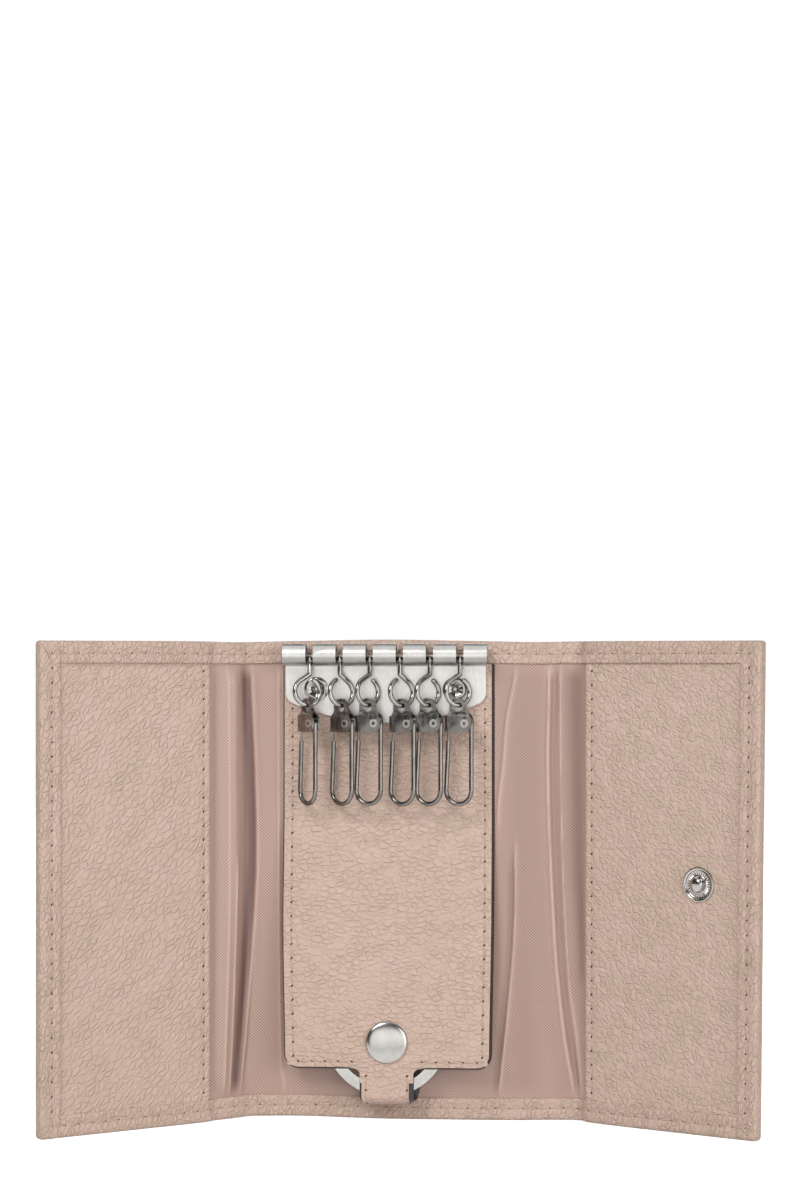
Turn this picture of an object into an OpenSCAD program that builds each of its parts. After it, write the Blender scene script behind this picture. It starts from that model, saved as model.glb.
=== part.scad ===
// Tri-fold leather key case, standing open like a screen.
// It holds a six-hook key rail, swivel hooks with wire key clips, and a hanging
// leather panel whose tab passes through a split ring.
// X runs to the right, Y away from the viewer, Z up. The origin is on the ground,
// in the middle of the bottom edge of the back.

/* [Case] */
// Height of the case
case_h = 116; // [110:1:125]
// Width of the back between its two folds
spine_w = 66; // [60:0.5:80]
// Width of the left gusset
left_gusset_w = 9; // [8.5:0.1:14]
// Width of the right gusset, which closes over the left flap
right_gusset_w = 13.4; // [12.5:0.1:22]
// Width of the left flap
left_flap_w = 47.4; // [40:0.1:56]
// Width of the right flap
right_flap_w = 49.4; // [40:0.1:56]

/* [Folds as it stands] */
// Bend at the left inner fold, in degrees
left_inner_fold = 35; // [0:1:80]
// Bend at the left outer fold, in degrees
left_outer_fold = 2; // [0:1:80]
// Bend at the right inner fold, in degrees
right_inner_fold = 0; // [0:1:80]
// Bend at the right outer fold, in degrees
right_outer_fold = 30.3; // [0:0.1:80]

/* [Leather] */
// Thickness of the outer leather
sheet_t = 1; // [0.8:0.1:1.4]
// Thickness of the edge that is turned over to the inside
turn_t = 0.6; // [0.4:0.1:1]
// Width of the turned edge
border_w = 5.3; // [4:0.1:8]
// Rounding of the folded edge
edge_r = 0.45; // [0.2:0.05:0.5]
// Corner radius of the flaps
flap_corner_r = 1.2; // [0.5:0.1:5]
// Thickness of the stiffening board
board_t = 0.6; // [0.5:0.1:1.2]
// Thickness of the satin lining
lining_t = 0.3; // [0.2:0.05:0.5]
// Thickness of the pocket leather on the flaps
facing_t = 0.8; // [0.5:0.1:1.2]
// Distance from a flap's fold to the pocket's free edge
fold_margin = 2; // [1.2:0.1:4]

/* [Key panel] */
// Width of the hanging panel
panel_w = 50; // [44:0.5:60]
// Sideways place of the panel on the back
panel_x = 0.5; // [-1:0.1:1]
// Thickness of each of the panel's two layers
panel_layer_t = 0.6; // [0.5:0.05:0.8]
// Height of the line where the panel bends forward
panel_bend_z = 74; // [70:0.5:76]
// Forward lean of the lower panel, in degrees
panel_lean = 6.2; // [5.5:0.1:7]
// Length of the lower panel, from the bend to its bottom edge
panel_lower_h = 60.2; // [54:0.1:61]
// Corner radius of the panel
panel_corner_r = 3.5; // [1:0.1:8]
// Width of the tab
tab_w = 13; // [10:0.5:18]
// Height of the tab's lowest point
tab_bottom_z = 4.9; // [4:0.1:8]
// Gap inside the folded tab
tab_gap = 2.4; // [2.3:0.05:2.6]

/* [Key rail] */
// Length of the rolled tube
rail_l = 49.4; // [48:0.2:54]
// Outer diameter of the rolled tube
tube_d = 5.4; // [5.2:0.1:5.8]
// Thickness of the rail's sheet
rail_t = 0.7; // [0.5:0.05:0.8]
// Distance from the top of the case to the tube's axis
tube_drop = 3.3; // [3:0.1:5]
// Width of the riveted plate
plate_w = 48.6; // [46:0.2:54]
// Distance from the tube's axis to the plate's lowest point
plate_drop = 16.4; // [14:0.2:18]
// Radius of the plate's bottom curve
plate_arc_r = 57; // [50:1:90]
// Corner radius of the plate
plate_corner_r = 3; // [1:0.2:5]
// Number of hooks
hooks = 6; // [6:1:6]
// Distance from hook to hook
pitch = 7.27; // [7:0.01:7.6]
// Width of the slot for a hook
slot_w = 1.8; // [1.75:0.05:2.4]
// Distance between the two rivets
rivet_pitch = 33.7; // [30:0.1:38]
// Distance from the tube's axis down to the rivets
rivet_drop = 8.3; // [7.5:0.1:10]
// Diameter of a rivet's head
rivet_head_d = 6; // [4:0.1:7]
// Height of a rivet's head
rivet_head_h = 0.7; // [0.5:0.05:0.8]
// Diameter of a rivet's shank
rivet_shank_d = 3; // [2:0.1:4]

/* [Hooks] */
// Diameter of the hook's wire
hook_wire_d = 1.15; // [0.9:0.05:1.3]
// Radius of the hook's loop, at the middle of the wire
loop_r = 3.25; // [3:0.05:3.5]
// Sideways place of the loop's centre from the shank
loop_offset = 0.55; // [0.3:0.05:0.8]
// Distance from the hook's cross pin to the loop's centre
hook_drop = 7.9; // [7.6:0.05:8.4]
// Distance from the cross pin to the bend at the shank's end
shank_drop = 3.55; // [3:0.05:3.8]
// Diameter of the cross pin that turns inside the tube
cross_pin_d = 1.4; // [1:0.05:1.6]
// Length of the cross pin
cross_pin_l = 4.2; // [3:0.1:5]
// Diameter of the hook's ball head
ball_d = 1.7; // [1.5:0.05:1.7]
// Forward lean of the hanging hooks, in degrees
hook_lean = 9; // [8:0.5:14]
// Turn of each hook's loop, in degrees
hook_turns = [28, 38, 44, 37, 40, 33];
// Hooks that hang the other way round
hook_mirrored = [false, true, false, true, false, false];

/* [Key clips] */
// Thickness of the clip's sheet
clip_t = 0.4; // [0.3:0.05:0.45]
// Gap between the clip's cheeks
cheek_gap = 1.3; // [1.2:0.05:1.4]
// Diameter of the hole in the ear
ear_hole_d = 2.6; // [2.4:0.05:2.8]
// Width of metal around the hole in the ear
ear_rim = 0.8; // [0.6:0.05:1]
// Sideways place of the clip's rivet from the hole
clip_rivet_x = 2.1; // [1.8:0.1:2.4]
// Distance from the hole down to the clip's rivet
clip_rivet_drop = 3.9; // [3.7:0.1:4.5]
// Distance from the hole down to the bottom of the clip's body
clip_body_drop = 6; // [5.7:0.1:7]
// Radius of the body's corner at the rivet
clip_corner_r = 1.6; // [1.2:0.1:1.8]
// Outer diameter of the clip's hollow rivet
clip_rivet_d = 1.4; // [1.2:0.05:1.5]
// Diameter of the bore in the hollow rivet
clip_rivet_bore_d = 0.9; // [0.6:0.05:1]
// Diameter of the wire bail
bail_wire_d = 1.1; // [0.9:0.05:1.15]
// Distance from the rivet to the middle of the wire at the bottom
bail_drop = 19.4; // [16:0.05:20]
// Radius of the bail's bottom curve, at the middle of the wire
bail_r = 3.25; // [3.1:0.05:3.35]
// Turn of each clip, in degrees
clip_turns = [-50, -38, -21, -28, -24, -19];

/* [Split ring] */
// Outer diameter of the split ring
ring_od = 30; // [28:0.5:32]
// Inner diameter of the split ring
ring_id = 25; // [23:0.5:27]
// Thickness of each of the ring's two coils
coil_t = 0.9; // [0.8:0.05:0.95]

/* [Snaps] */
// Diameter of the snap caps
cap_d = 10; // [8:0.5:11]
// Height of the snap caps
cap_h = 1.2; // [0.8:0.1:1.2]
// Height of the panel's snap above the ground
panel_snap_z = 19.6; // [18:0.1:21]
// Diameter of the bases of studs and sockets
snap_base_d = 8.3; // [7:0.1:9]
// Thickness of the bases of the studs
snap_base_t = 0.5; // [0.4:0.05:0.6]
// Diameter of a stud's knob
knob_d = 3.4; // [3:0.1:4]
// Height of the closing stud's knob above its base
closing_knob_h = 1.5; // [1:0.1:1.8]
// Height of the panel stud's knob above its base
panel_knob_h = 0.95; // [0.8:0.05:1.1]
// Height of the closing stud above the ground
closure_z = 58.8; // [50:0.1:66]
// Height of the socket outside the left flap
socket_proud = 1.1; // [0.8:0.05:1.1]

/* [Hidden] */
$fn = 48;
// How far cuts run past a face
overrun = 1;
// Clearance of pieces that are slipped in between the leathers
tuck_gap = 0.2;
// Clearance round a shank in its hole
shank_gap = 0.05;
// Clearance of a snap's knob in its socket
knob_gap = 0.1;
// Clearance between the hook's wire and what it carries, at rest
hang_gap = 0.3;
// Diameter of the shanks of the snaps
snap_shank_d = 2;

// Whole thickness of the back at its turned edge
case_t = sheet_t + board_t + lining_t + turn_t;
// The inside face of the turned edge, where the folds pivot
inner_y = -case_t / 2;
lining_y = turn_t;
board_y = lining_y + lining_t;
sheet_y = board_y + board_t;
tray_h = case_h - 2 * (sheet_t + tuck_gap);
tray_z = sheet_t + tuck_gap;
// The stud's place on its flap brings it over the middle of the closed case
closure_x = spine_w / 2;

panel_t = 2 * panel_layer_t;
panel_front_y = inner_y + lining_y - panel_t;
panel_top_z = case_h - border_w - tuck_gap;
// The tab's fold is a half round about this height on the leaning panel
tab_fold_r = tab_gap / 2;
tab_centre = (panel_bend_z - tab_bottom_z - tab_fold_r - panel_t) / cos(panel_lean);
snap_centre = (panel_bend_z - panel_snap_z) / cos(panel_lean);
tail_y = panel_t + tab_gap;

tube_r = tube_d / 2;
tube_bore_r = tube_r - rail_t;
tube_y = panel_front_y - tube_r;
tube_z = case_h - tube_drop;
rivet_z = tube_z - rivet_drop;
// The cross pin lies in the bottom of the tube
pin_seat_gap = 0.15;
pin_z = tube_z - tube_bore_r + cross_pin_d / 2 + pin_seat_gap;
// Where the rolled edge meets the plate again, in degrees below the tube's back
seam_at = 56;
// The slots run past the seam
slot_reach = tube_r * cos(seam_at) + rail_t / 4;
// The plate runs into the tube's wall a little below the axis
plate_top = rail_t * 0.85;

// Wires bulge a little where a curve runs into a straight stretch
bend_share = 1.04;
bend_angle = 1;

// Turning angles of the hook's wire about the loop's centre
shank_reach = norm([loop_offset, hook_drop - shank_drop]);
loop_start = atan2(hook_drop - shank_drop, loop_offset) + acos(loop_r / shank_reach);
loop_end = 420;
loop_start_x = -loop_offset + loop_r * cos(loop_start);
loop_start_z = -hook_drop + loop_r * sin(loop_start);

ear_r = ear_hole_d / 2 + ear_rim;
hole_drop = ear_hole_d / 2 - hook_wire_d / 2 - hang_gap;
cheek_in = cheek_gap / 2;
cheek_out = cheek_in + clip_t;
fold_x = clip_rivet_x - bail_wire_d - bail_r;
ear_left_angle = 150;
ear_right_angle = 20;
body_top_drop = clip_body_drop / 3;
joggle_drop = clip_body_drop * 0.35;
joggle_end_drop = clip_body_drop / 5;
clip_right_x = clip_rivet_x + clip_corner_r;
clip_right_drop = clip_rivet_drop - clip_corner_r / 3;
curve_steps = 8;
rivet_flare_d = clip_rivet_d + 2 * clip_t * 0.75;
rivet_flare_t = clip_t / 2;

eye_r = clip_rivet_d / 2 + shank_gap;
// The eye is flattened a little where the wire bends round the rivet
eye_wall = bail_wire_d * 0.85;
right_leg_x = clip_rivet_x + eye_r + bail_wire_d / 2 + shank_gap;
bail_x = right_leg_x - bail_r;
bail_z = -clip_rivet_drop - bail_drop + bail_r;
left_top_x = bail_x - bail_r * 0.82;
left_top_z = -clip_body_drop - 2 * bail_wire_d;
tongue_d = bail_wire_d / 2;
tongue_top_z = -clip_rivet_drop;
tongue_lean = clip_t / 2;

ring_r = ring_od / 2;
coil_gap = 0.06;
coil_open = 12;
coil_end = 18;
ring_seat_gap = 0.12;
// How far the ring's edge hangs below the fold's centre before its corners meet the fold
ring_dip = sqrt(pow(tab_fold_r - ring_seat_gap, 2) - pow(coil_t + coil_gap / 2, 2));
ring_drop = tab_centre + ring_dip - ring_r;
ring_y = panel_t + tab_gap / 2;

leather_color = [0.80, 0.68, 0.62];
lining_color = [0.72, 0.58, 0.54];
board_color = [0.55, 0.47, 0.40];
steel_color = [0.70, 0.69, 0.66];
nickel_color = [0.80, 0.80, 0.78];

// Frames: each places a piece that is drawn flat, with y zero on the inside face
module spine_frame() {
    translate([0, inner_y, 0]) children();
}

module right_gusset_frame() {
    translate([spine_w / 2, inner_y, 0]) rotate([0, 0, -right_inner_fold]) children();
}

module right_flap_frame() {
    right_gusset_frame()
        translate([right_gusset_w, 0, 0]) rotate([0, 0, -right_outer_fold]) children();
}

module left_gusset_frame() {
    mirror([1, 0, 0])
        translate([spine_w / 2, inner_y, 0]) rotate([0, 0, -left_inner_fold]) children();
}

module left_flap_frame() {
    left_gusset_frame()
        translate([left_gusset_w, 0, 0]) rotate([0, 0, -left_outer_fold]) children();
}

module panel_upper_frame() {
    translate([panel_x, panel_front_y, 0]) children();
}

module panel_lower_frame() {
    translate([panel_x, panel_front_y, panel_bend_z]) rotate([-panel_lean, 0, 0]) children();
}

module tube_frame() {
    translate([0, tube_y, tube_z]) children();
}

function hook_x(i) = (i - (hooks - 1) / 2) * pitch;

// A hook's pin frame leans forward with the hook
module hook_frame(i) {
    translate([hook_x(i), tube_y, pin_z]) rotate([-hook_lean, 0, 0]) children();
}

// The lowest point of a hook's loop, before the hook leans
function loop_side(i) = hook_mirrored[i] ? loop_offset : -loop_offset;
function loop_low(i) = [
    loop_side(i) * cos(hook_turns[i]),
    loop_side(i) * sin(hook_turns[i]),
    -hook_drop - loop_r
];
function leaned(p) = [
    p[0],
    p[1] * cos(hook_lean) + p[2] * sin(hook_lean),
    p[2] * cos(hook_lean) - p[1] * sin(hook_lean)
];

// A clip hangs upright from the lowest point of its hook, with the ear's hole at zero
module clip_frame(i) {
    translate([hook_x(i), tube_y, pin_z] + leaned(loop_low(i)))
        rotate([0, 0, clip_turns[i]]) translate([0, 0, -hole_drop]) children();
}

// Helpers
module round_rect(w, h, r) {
    translate([r, 0]) square([w - 2 * r, h]);
    translate([0, r]) square([w, h - 2 * r]);
    for (x = [r, w - r], y = [r, h - r]) translate([x, y]) circle(r);
}

// Extrudes an outline that is drawn in y and z along x
module along_x(l) {
    rotate([90, 0, 90]) linear_extrude(l) children();
}

// Extrudes an outline that is drawn in x and z towards the back
module along_y(t) {
    translate([0, t, 0]) rotate([90, 0, 0]) linear_extrude(t) children();
}

module y_cylinder(r, y0, y1) {
    translate([0, y0, 0]) rotate([-90, 0, 0]) cylinder(r = r, h = y1 - y0);
}

module wire_line(from, to, d) {
    step = to - from;
    translate([from[0], 0, from[1]])
        rotate([0, atan2(step[0], step[1]), 0]) cylinder(d = d, h = norm(step));
}

module wire_arc(r, d, from, to) {
    rotate([90, 0, 0]) rotate([0, 0, from])
        rotate_extrude(angle = to - from) translate([r, 0]) circle(d = d);
}

// Leather: a sheet whose edges are turned over to the inside
module free_edge_outline(w, h, r) {
    square([w - r, h]);
    translate([w - r, r]) square([r, h - 2 * r]);
    for (z = [r, h - r]) translate([w - r, z]) circle(r);
}

module turned_strip(w, raise) {
    t = case_t + raise;
    translate([0, -raise, 0]) difference() {
        along_x(w) round_rect(t, case_h, edge_r);
        translate([-overrun, turn_t, sheet_t])
            cube([w + 2 * overrun, t - turn_t - sheet_t, case_h - 2 * sheet_t]);
        translate([-overrun, -overrun, border_w])
            cube([w + 2 * overrun, turn_t + 2 * overrun, case_h - 2 * border_w]);
    }
}

module turned_flap(w) {
    t = case_t + facing_t;
    turned_strip(fold_margin, 0);
    difference() {
        intersection() {
            translate([fold_margin, -facing_t, 0])
                along_x(w - fold_margin) round_rect(t, case_h, edge_r);
            translate([0, -facing_t, 0]) along_y(t) free_edge_outline(w, case_h, flap_corner_r);
        }
        translate([0, turn_t - facing_t, sheet_t])
            cube([w - sheet_t, t - turn_t - sheet_t, case_h - 2 * sheet_t]);
        translate([0, -facing_t - overrun, border_w])
            cube([w - border_w, turn_t + 2 * overrun, case_h - 2 * border_w]);
    }
}

module lining_sheet(w) {
    translate([0, lining_y, tray_z]) cube([w, lining_t, tray_h]);
}

module board_sheet(w, left) {
    translate([left, board_y, tray_z]) cube([w - left, board_t, tray_h]);
}

// The holes for the rail's rivets, through whatever lies behind the rail
module rivet_holes(y0, y1) {
    for (side = [-1, 1])
        translate([side * rivet_pitch / 2, 0, rivet_z])
            y_cylinder(rivet_shank_d / 2 + shank_gap, y0, y1);
}

module closing_hole(r, y0, y1) {
    translate([closure_x, 0, closure_z]) y_cylinder(r, y0, y1);
}

module spine_shell() {
    color(leather_color) spine_frame() translate([-spine_w / 2, 0, 0]) turned_strip(spine_w, 0);
}

module left_gusset_shell() {
    color(leather_color) left_gusset_frame() turned_strip(left_gusset_w, 0);
}

module right_gusset_shell() {
    color(leather_color) right_gusset_frame() turned_strip(right_gusset_w, 0);
}

socket_barrel_r = knob_d / 2 + knob_gap + rail_t;

module left_flap_shell() {
    color(leather_color) left_flap_frame() difference() {
        turned_flap(left_flap_w);
        closing_hole(socket_barrel_r + shank_gap, board_y, case_t + overrun);
    }
}

module right_flap_shell() {
    color(leather_color) right_flap_frame() difference() {
        turned_flap(right_flap_w);
        closing_hole(snap_shank_d / 2 + shank_gap, board_y, case_t + overrun);
    }
}

module spine_lining() {
    color(lining_color) difference() {
        spine_frame() translate([-spine_w / 2, 0, 0]) lining_sheet(spine_w);
        rivet_holes(inner_y, inner_y + case_t);
    }
}

module left_gusset_lining() {
    color(lining_color) left_gusset_frame() lining_sheet(left_gusset_w);
}

module right_gusset_lining() {
    color(lining_color) right_gusset_frame() lining_sheet(right_gusset_w);
}

module left_flap_lining() {
    color(lining_color) left_flap_frame() lining_sheet(left_flap_w - sheet_t - tuck_gap);
}

module right_flap_lining() {
    color(lining_color) right_flap_frame() difference() {
        lining_sheet(right_flap_w - sheet_t - tuck_gap);
        closing_hole(snap_shank_d / 2 + shank_gap, 0, case_t);
    }
}

module spine_board() {
    color(board_color) difference() {
        spine_frame()
            translate([-spine_w / 2, 0, 0]) board_sheet(spine_w - fold_margin, fold_margin);
        rivet_holes(inner_y, inner_y + case_t);
    }
}

module left_flap_board() {
    color(board_color) left_flap_frame() difference() {
        board_sheet(left_flap_w - sheet_t - tuck_gap, fold_margin);
        closing_hole(snap_base_d / 2, 0, case_t);
    }
}

module right_flap_board() {
    color(board_color) right_flap_frame() difference() {
        board_sheet(right_flap_w - sheet_t - tuck_gap, fold_margin);
        closing_hole(snap_shank_d / 2 + shank_gap, 0, case_t);
    }
}

// The pocket leather: its free edge faces the fold, and the other three are turned under
module facing(w) {
    left = fold_margin + tuck_gap;
    right = w - sheet_t - tuck_gap;
    translate([left, turn_t - facing_t, tray_z]) cube([right - left, facing_t, tray_h]);
}

module left_facing() {
    color(leather_color) left_flap_frame() facing(left_flap_w);
}

module right_facing() {
    color(leather_color) right_flap_frame() difference() {
        facing(right_flap_w);
        closing_hole(snap_shank_d / 2 + shank_gap, -facing_t, case_t);
    }
}

// The hanging panel: its upper part is riveted to the back, under the rail
module upper_outline() {
    translate([-panel_w / 2, panel_bend_z]) square([panel_w, panel_top_z - panel_bend_z]);
}

module upper_layer(y) {
    difference() {
        panel_upper_frame() translate([0, y, 0]) along_y(panel_layer_t) upper_outline();
        rivet_holes(panel_front_y - overrun, panel_front_y + panel_t + overrun);
    }
}

module panel_upper() {
    color(leather_color) upper_layer(0);
}

module panel_upper_backing() {
    color(leather_color) upper_layer(panel_layer_t);
}

module lower_outline() {
    r = panel_corner_r;
    translate([-panel_w / 2, r - panel_lower_h]) square([panel_w, panel_lower_h - r]);
    translate([r - panel_w / 2, -panel_lower_h]) square([panel_w - 2 * r, r]);
    for (side = [-1, 1]) translate([side * (panel_w / 2 - r), r - panel_lower_h]) circle(r);
    translate([-tab_w / 2, -tab_centre]) square([tab_w, tab_centre - panel_lower_h + r]);
}

module tab_fold(r_in, r_out) {
    translate([-tab_w / 2, ring_y, -tab_centre]) along_x(tab_w) intersection() {
        difference() {
            circle(r_out);
            circle(r_in);
        }
        translate([-r_out, -r_out]) square([2 * r_out, r_out]);
    }
}

module panel_snap_hole(y0, y1) {
    translate([0, 0, -snap_centre]) y_cylinder(snap_shank_d / 2 + shank_gap, y0, y1);
}

module lower_layer(y) {
    difference() {
        translate([0, y, 0]) along_y(panel_layer_t) lower_outline();
        panel_snap_hole(-overrun, panel_t + overrun);
    }
}

module panel_lower() {
    color(leather_color) panel_lower_frame() {
        lower_layer(0);
        tab_fold(tab_fold_r + panel_layer_t, tab_fold_r + panel_t);
    }
}

module panel_lower_backing() {
    color(leather_color) panel_lower_frame() {
        lower_layer(panel_layer_t);
        tab_fold(tab_fold_r, tab_fold_r + panel_layer_t);
    }
}

// The tab's tail stands behind the panel and ends in a half round above its snap
module tab_tail() {
    color(leather_color) panel_lower_frame() difference() {
        translate([0, tail_y, 0]) along_y(panel_t) {
            translate([-tab_w / 2, -tab_centre]) square([tab_w, tab_centre - snap_centre]);
            translate([0, -snap_centre]) circle(d = tab_w);
        }
        panel_snap_hole(tail_y - overrun, tail_y + panel_t + overrun);
    }
}

// Key rail: a plate whose top edge is rolled forward into a slotted tube
module rail_section() {
    difference() {
        circle(tube_r);
        circle(tube_bore_r);
        // The seam where the rolled edge meets the plate again
        rotate(-seam_at) translate([0, -rail_t / 8]) square([tube_d, rail_t / 4]);
    }
}

// The plate's bottom is a shallow arc that runs into the round corners
arc_z = plate_arc_r - plate_drop;
corner_x = plate_w / 2 - plate_corner_r;
corner_z = arc_z - sqrt(pow(plate_arc_r - plate_corner_r, 2) - pow(corner_x, 2));
corner_angle = atan2(corner_z - arc_z, corner_x);
corner_steps = 12;
arc_steps = 16;

function arc_points(x, z, r, from, to, steps) = [
    for (s = [0 : steps])
        let (a = from + (to - from) * s / steps)
            [x + r * cos(a), z + r * sin(a)]
];

module plate_half() {
    polygon(concat(
        [[0, -plate_top]],
        arc_points(0, arc_z, plate_arc_r, -90, corner_angle, arc_steps),
        arc_points(corner_x, corner_z, plate_corner_r, corner_angle, 0, corner_steps),
        [[plate_w / 2, -plate_top]]
    ));
}

module plate_outline() {
    plate_half();
    mirror([1, 0]) plate_half();
}

module hook_slots() {
    for (i = [0 : hooks - 1]) {
        translate([hook_x(i) - slot_w / 2, 0, 0]) {
            // open over the top of the tube
            translate([0, -tube_r - overrun, 0]) cube([slot_w, tube_d + 2 * overrun, tube_r + overrun]);
            // open down the front, for the hanging shank
            translate([0, -tube_r - overrun, -tube_r - overrun])
                cube([slot_w, tube_r + overrun + slot_reach, tube_r + 2 * overrun]);
        }
    }
}

module rail_plate() {
    color(steel_color) difference() {
        tube_frame() difference() {
            union() {
                translate([-rail_l / 2, 0, 0]) along_x(rail_l) rail_section();
                translate([0, tube_r - rail_t, 0]) along_y(rail_t) plate_outline();
            }
            hook_slots();
        }
        rivet_holes(tube_y, panel_front_y + overrun);
    }
}

// Tubular rivets with a dished head, their shanks ending behind the board
module rail_rivet() {
    head_r = rivet_head_d / 2;
    shank_r = rivet_shank_d / 2;
    shank_l = rail_t + panel_t + lining_t + board_t;
    dish = rivet_head_h * 0.6;
    crown_r = (pow(head_r, 2) / rivet_head_h + rivet_head_h) / 2;
    difference() {
        union() {
            y_cylinder(shank_r, 0, shank_l);
            rotate([90, 0, 0]) rotate_extrude() intersection() {
                square([head_r, rivet_head_h]);
                translate([0, rivet_head_h - crown_r]) circle(crown_r, $fn = 180);
            }
        }
        y_cylinder(shank_r / 2, -rivet_head_h - overrun, dish);
    }
}

module rail_rivets() {
    color(nickel_color) for (side = [-1, 1])
        translate([side * rivet_pitch / 2, panel_front_y - rail_t, rivet_z]) rail_rivet();
}

// Swivel hook: a cross pin and ball in the tube, a shank, and an open wire loop
module key_hook(i) {
    color(nickel_color) hook_frame(i) {
        translate([-cross_pin_l / 2, 0, 0]) rotate([0, 90, 0]) cylinder(d = cross_pin_d, h = cross_pin_l);
        sphere(d = ball_d);
        wire_line([0, 0], [0, -shank_drop], hook_wire_d);
        rotate([0, 0, hook_turns[i]]) mirror([hook_mirrored[i] ? 1 : 0, 0, 0]) hook_loop();
    }
}

module hook_loop() {
    end_x = -loop_offset + loop_r * cos(loop_end);
    end_z = -hook_drop + loop_r * sin(loop_end);
    translate([0, 0, -shank_drop]) sphere(d = hook_wire_d);
    wire_line([0, -shank_drop], [loop_start_x, loop_start_z], hook_wire_d);
    translate([loop_start_x, 0, loop_start_z]) sphere(d = hook_wire_d);
    translate([-loop_offset, 0, -hook_drop]) wire_arc(loop_r, hook_wire_d, loop_start, loop_end);
    translate([end_x, 0, end_z]) sphere(d = hook_wire_d);
}

// Clip body: a folded sheet, with the fold at the left and two cheeks that close to an ear
function ease(a, b, t) = a + (b - a) * (1 - cos(180 * t)) / 2;

module clip_outline() {
    corner_z = clip_corner_r - clip_body_drop;
    ear_x = ear_r * cos(ear_right_angle);
    ear_z = ear_r * sin(ear_right_angle);
    circle(ear_r);
    translate([clip_rivet_x, corner_z]) circle(clip_corner_r);
    polygon(concat(
        [
            [fold_x, -clip_body_drop],
            [clip_rivet_x, -clip_body_drop],
            [clip_rivet_x, corner_z],
            [clip_right_x, corner_z]
        ],
        [
            for (s = [0 : curve_steps])
                let (t = s / curve_steps)
                    [ease(clip_right_x, ear_x, t), -clip_right_drop + (ear_z + clip_right_drop) * t]
        ],
        [
            [ear_r * cos(ear_left_angle), ear_r * sin(ear_left_angle)],
            [fold_x, -body_top_drop]
        ]
    ));
}

module cheek_section() {
    half = [
        [cheek_in, -clip_body_drop],
        [cheek_out, -clip_body_drop],
        [cheek_out, -joggle_drop],
        [clip_t, -joggle_end_drop],
        [clip_t, ear_r],
        [0, ear_r],
        [0, -joggle_end_drop],
        [cheek_in, -joggle_drop]
    ];
    polygon(half);
    mirror([1, 0]) polygon(half);
}

module clip_body(i) {
    reach = ear_r + clip_right_x;
    color(nickel_color) clip_frame(i) difference() {
        union() {
            intersection() {
                translate([0, -cheek_out, 0]) along_y(2 * cheek_out) clip_outline();
                translate([-reach, 0, 0]) along_x(2 * reach) cheek_section();
            }
            translate([fold_x, 0, -clip_body_drop])
                linear_extrude(clip_body_drop - joggle_drop) difference() {
                    circle(cheek_out);
                    circle(cheek_in);
                    translate([0, -cheek_out - overrun]) square(2 * (cheek_out + overrun));
                }
        }
        y_cylinder(ear_hole_d / 2, -cheek_out - overrun, cheek_out + overrun);
        translate([clip_rivet_x, 0, -clip_rivet_drop])
            y_cylinder(clip_rivet_d / 2, -cheek_out - overrun, cheek_out + overrun);
    }
}

module clip_rivet(i) {
    color(nickel_color) clip_frame(i) translate([clip_rivet_x, 0, -clip_rivet_drop]) difference() {
        union() {
            y_cylinder(clip_rivet_d / 2, -cheek_out, cheek_out);
            y_cylinder(rivet_flare_d / 2, cheek_out, cheek_out + rivet_flare_t);
            y_cylinder(rivet_flare_d / 2, -cheek_out - rivet_flare_t, -cheek_out);
        }
        y_cylinder(clip_rivet_bore_d / 2, -cheek_out - overrun, cheek_out + overrun);
    }
}

// Wire bail: an eye on the rivet, two legs, and a thin tongue that springs into the body
module clip_bail(i) {
    color(nickel_color) clip_frame(i) {
        translate([clip_rivet_x, 0, -clip_rivet_drop]) difference() {
            y_cylinder(eye_r + eye_wall, -bail_wire_d / 2, bail_wire_d / 2);
            y_cylinder(eye_r, -bail_wire_d, bail_wire_d);
        }
        wire_line([right_leg_x, -clip_rivet_drop], [right_leg_x, bail_z], bail_wire_d);
        translate([bail_x, 0, bail_z])
            wire_arc(bail_r, bail_wire_d, 180 + bend_angle, 360 - bend_angle);
        for (side = [-1, 1])
            translate([bail_x + side * bail_r, 0, bail_z]) sphere(d = bail_wire_d * bend_share);
        wire_line([bail_x - bail_r, bail_z], [left_top_x, left_top_z], bail_wire_d);
        wire_line([left_top_x, left_top_z], [left_top_x + tongue_lean, tongue_top_z], tongue_d);
    }
}

// Split ring: two flat coils joined by one crossing
module coil(y, from, to) {
    translate([0, y, 0]) rotate([90, 0, 0]) rotate([0, 0, from])
        rotate_extrude(angle = to - from) translate([ring_id / 2, -coil_t / 2])
            square([(ring_od - ring_id) / 2, coil_t]);
}

// The crossing runs from one end of the front coil to the start of the back one
module crossing(step) {
    rise = ring_r * sin(coil_open);
    slope = atan2(step, rise);
    intersection() {
        difference() {
            y_cylinder(ring_r - coil_gap, -ring_od, ring_od);
            y_cylinder(ring_id / 2 + coil_gap, -2 * ring_od, 2 * ring_od);
        }
        translate([ring_id / 2, 0, 0]) rotate([-slope, 0, 0])
            translate([-ring_r / 2, -coil_t / 2, -ring_r / 2]) cube([ring_r, coil_t, ring_r]);
        translate([0, -ring_r, -rise - coil_gap])
            cube([ring_od, ring_od, 2 * (rise + coil_gap)]);
    }
}

module split_ring() {
    step = (coil_t + coil_gap) / 2;
    color(nickel_color) panel_lower_frame() translate([0, ring_y, -ring_drop]) {
        coil(-step, coil_end, 360 - coil_open);
        coil(step, coil_open, 360 - coil_end);
        crossing(step);
    }
}

// Snaps
module dome(d, h) {
    r = (pow(d / 2, 2) + pow(h, 2)) / (2 * h);
    rotate([90, 0, 0]) rotate_extrude() intersection() {
        square([d / 2, h]);
        translate([0, h - r]) circle(r, $fn = 180);
    }
}

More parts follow.
